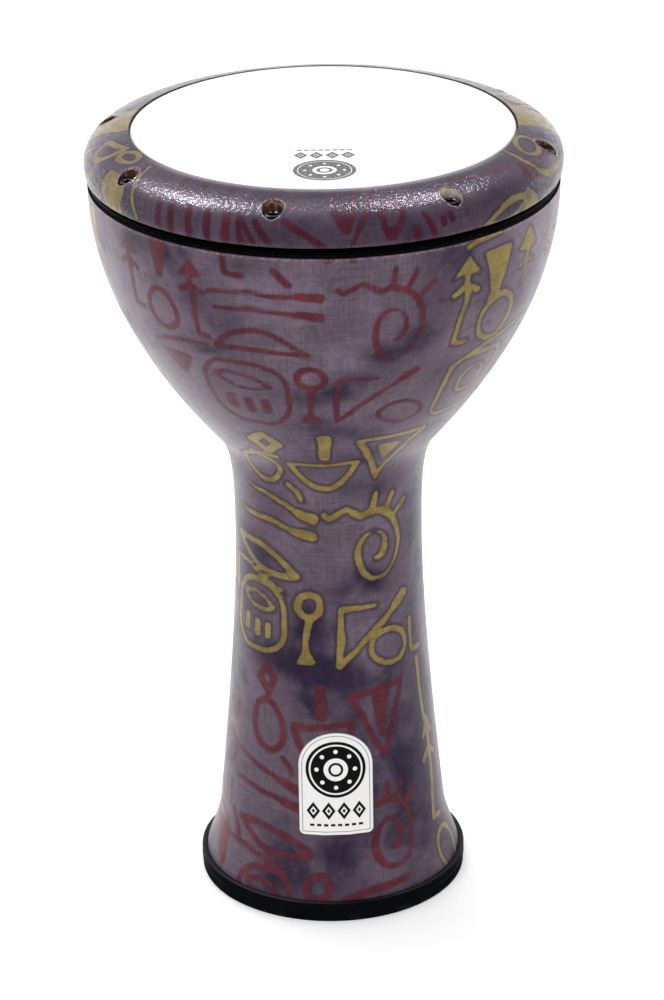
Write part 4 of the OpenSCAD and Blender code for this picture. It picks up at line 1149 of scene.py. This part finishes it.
def build_bolts():
    V, F = bolt_arrays()
    for k in range(BOLTS):
        a = math.radians(BOLT_A + 45 * k)
        turn = math.radians((37 * k) % 60)
        c, s = math.cos(turn), math.sin(turn)
        # the thread keeps its phase with height, so each bolt's mesh is turned as a whole
        W = np.stack([V[:, 0] * c - V[:, 1] * s + BOLT_R * math.cos(a), V[:, 0] * s + V[:, 1] * c + BOLT_R * math.sin(a), V[:, 2]], 1)
        ob = new_mesh(f"socket_bolt_{k + 1}", W * MM, F, 28.0)
        ob.data.materials.append(M_BOLT)
        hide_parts(f"tuning_bolt_{k + 1}")
        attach(ob, f"bolt_{k + 1}")


build_shell_skin()
build_ring_skin()
build_head()
build_foot()
build_badge()
build_bolts()
dress("shell", M_SHELL)
dress("tuning_ring", M_RINGCORE)
dress("bearing_rim", M_BLACK)
dress("flesh_hoop", M_HOOP)
for k in range(1, BOLTS + 1):
    dress(f"bolt_washer_{k}", M_WASHER)
    dress(f"thread_insert_{k}", M_BRASS)


# ---------------------------------------------------------------- floor, light and camera
def build_stage():
    me = bpy.data.meshes.new("floor")
    y0, y1, x, z = -0.62, 6.0, 5.0, -0.0001
    me.from_pydata([(-x, y0, z), (x, y0, z), (x, y1, z), (-x, y1, z)], [], [(0, 1, 2, 3)])
    floor = bpy.data.objects.new("floor", me)
    bpy.context.scene.collection.objects.link(floor)
    k = Mat("pale_floor")
    obj = k.obj()
    g = k.noise(obj, 3.0, 3.0)
    k.set(Base_Color=k.mix(g, lin(246, 246, 247), lin(250, 250, 250)), Roughness=0.75, Specular_IOR_Level=0.15)
    # painted reflection: for mirror rays only the floor glows, giving what the lacquer mirrors: a dim sweep in front,
    # bright paper to the sides and behind
    x, y, z = k.split(obj)
    reach = k.math("SQRT", k.add(k.math("POWER", x, 2.0), k.math("POWER", y, 2.0)))
    glow = k.t.nodes.new("ShaderNodeEmission")
    dull = k.ramp(k.math("DIVIDE", x, k.high(reach, 0.01)), 0.15, 0.85, 1.0, 0.80)
    k.put(glow.inputs["Strength"], k.mul(k.ramp(k.math("DIVIDE", y, k.high(reach, 0.01)), -0.25, 0.75, 0.06, 2.7), dull))
    # painted light: the floor glows, strongly inside the foot's footprint where the glow lights the drum's inside, and
    # faintly elsewhere
    lift = k.t.nodes.new("ShaderNodeEmission")
    k.put(lift.inputs["Strength"], k.ramp(reach, 0.066, 0.064, 0.24, 1.2))
    plus = k.t.nodes.new("ShaderNodeAddShader")
    k.put(plus.inputs[0], k.bsdf.outputs[0])
    k.put(plus.inputs[1], lift.outputs[0])
    both = k.t.nodes.new("ShaderNodeMixShader")
    path = k.t.nodes.new("ShaderNodeLightPath")
    k.put(both.inputs[0], path.outputs["Is Glossy Ray"])
    k.put(both.inputs[1], plus.outputs[0])
    k.put(both.inputs[2], glow.outputs[0])
    # from below it is clear, so that the foot and the inside can be looked at
    clear = k.t.nodes.new("ShaderNodeBsdfTransparent")
    side = k.t.nodes.new("ShaderNodeNewGeometry")
    last = k.t.nodes.new("ShaderNodeMixShader")
    k.put(last.inputs[0], side.outputs["Backfacing"])
    k.put(last.inputs[1], both.outputs[0])
    k.put(last.inputs[2], clear.outputs[0])
    k.put(k.out.inputs[0], last.outputs[0])
    me.materials.append(k.m)

    world = bpy.data.worlds.new("studio")
    bpy.context.scene.world = world
    world.use_nodes = True
    t = world.node_tree
    t.nodes.clear()
    out = t.nodes.new("ShaderNodeOutputWorld")
    path = t.nodes.new("ShaderNodeLightPath")
    tc = t.nodes.new("ShaderNodeTexCoord")
    sep = t.nodes.new("ShaderNodeSeparateXYZ")
    t.links.new(tc.outputs[0], sep.inputs[0])

    def ramp(sock, a, b, lo, hi):
        n = t.nodes.new("ShaderNodeMapRange")
        n.interpolation_type = "SMOOTHSTEP"
        for i, v in ((1, a), (2, b), (3, lo), (4, hi)):
            n.inputs[i].default_value = v
        t.links.new(sock, n.inputs[0])
        return n.outputs[0]

    def times(a, b):
        n = t.nodes.new("ShaderNodeMath")
        n.operation = "MULTIPLY"
        t.links.new(a, n.inputs[0])
        t.links.new(b, n.inputs[1])
        return n.outputs[0]

    def mix(f, a, b):
        n = t.nodes.new("ShaderNodeMixShader")
        t.links.new(f, n.inputs[0])
        t.links.new(a, n.inputs[1])
        t.links.new(b, n.inputs[2])
        return n.outputs[0]

    def sky(strength, colour=(1, 1, 1, 1)):
        n = t.nodes.new("ShaderNodeBackground")
        n.inputs[0].default_value = colour
        if isinstance(strength, float):
            n.inputs[1].default_value = strength
        else:
            t.links.new(strength, n.inputs[1])
        return n.outputs[0]

    back = ramp(sep.outputs[1], -0.25, 0.70, 0.0, 1.0)
    low = ramp(sep.outputs[2], 0.42, 0.10, 0.06, 1.0)
    lit = sky(ramp(sep.outputs[1], -1.0, 0.6, 0.62, 1.02))
    add = t.nodes.new("ShaderNodeMath")
    add.operation = "MULTIPLY_ADD"
    t.links.new(times(back, low), add.inputs[0])
    add.inputs[1].default_value = 3.0
    add.inputs[2].default_value = 0.05
    mirrored = sky(add.outputs[0])
    seen = sky(1.0)
    t.links.new(mix(path.outputs["Is Camera Ray"], mix(path.outputs["Is Glossy Ray"], lit, mirrored), seen), out.inputs[0])

    def area(name, loc, aim, size, power, size_y=None, mirror=True, soft=True):
        d = bpy.data.lights.new(name, "AREA")
        d.energy = power
        d.size = size
        if size_y:
            d.shape = "RECTANGLE"
            d.size_y = size_y
        o = bpy.data.objects.new(name, d)
        bpy.context.scene.collection.objects.link(o)
        o.location = loc
        o.rotation_mode = "QUATERNION"
        o.rotation_quaternion = (Vector(aim) - Vector(loc)).to_track_quat("-Z", "Y")
        o.visible_glossy, o.visible_diffuse = mirror, soft
        if not soft:
            d.color = (0.95, 0.90, 1.0)
        return o

    top = Vector((0, 0, 0.45))
    area("softbox_left", (-1.03, 0.50, 2.19), top, 0.32, 106, 0.66, soft=False)
    area("softbox_right", (0.575, 0.62, 2.24), top, 0.22, 54, 0.42, soft=False)
    area("top_fill", (-0.35, 0.75, 2.25), top, 0.9, 17, 0.9, mirror=False)
    area("front_fill", (-0.9, -2.2, 1.7), (0, 0, 0.25), 1.3, 10, None, False)
    area("front_fill_right", (1.3, -1.9, 1.3), (0, 0, 0.25), 1.0, 5, None, False)

    cam = bpy.data.cameras.new("camera")
    cam.lens = 3833.88 / 1000 * 36.0
    cam.sensor_width = 36.0
    cam.sensor_fit = "AUTO"
    cam.clip_start, cam.clip_end = 0.05, 30
    co = bpy.data.objects.new("camera", cam)
    bpy.context.scene.collection.objects.link(co)
    D, e, yaw, pitch, roll, dx = 2.18851, 0.4201, 0.0009, -0.0014, -0.0133, 0.000305
    C = Vector((dx, -D * math.cos(e), 0.2285 + D * math.sin(e)))
    e2 = e + pitch
    fw = Vector((math.sin(yaw) * math.cos(e2), math.cos(yaw) * math.cos(e2), -math.sin(e2)))
    right = Vector((math.cos(yaw), -math.sin(yaw), 0))
    up = right.cross(fw)
    r2 = math.cos(roll) * right + math.sin(roll) * up
    u2 = -math.sin(roll) * right + math.cos(roll) * up
    co.matrix_world = Matrix(((r2.x, u2.x, -fw.x, C.x), (r2.y, u2.y, -fw.y, C.y), (r2.z, u2.z, -fw.z, C.z), (0, 0, 0, 1)))
    bpy.context.scene.camera = co
    bpy.context.scene.view_settings.view_transform = "Standard"


build_stage()
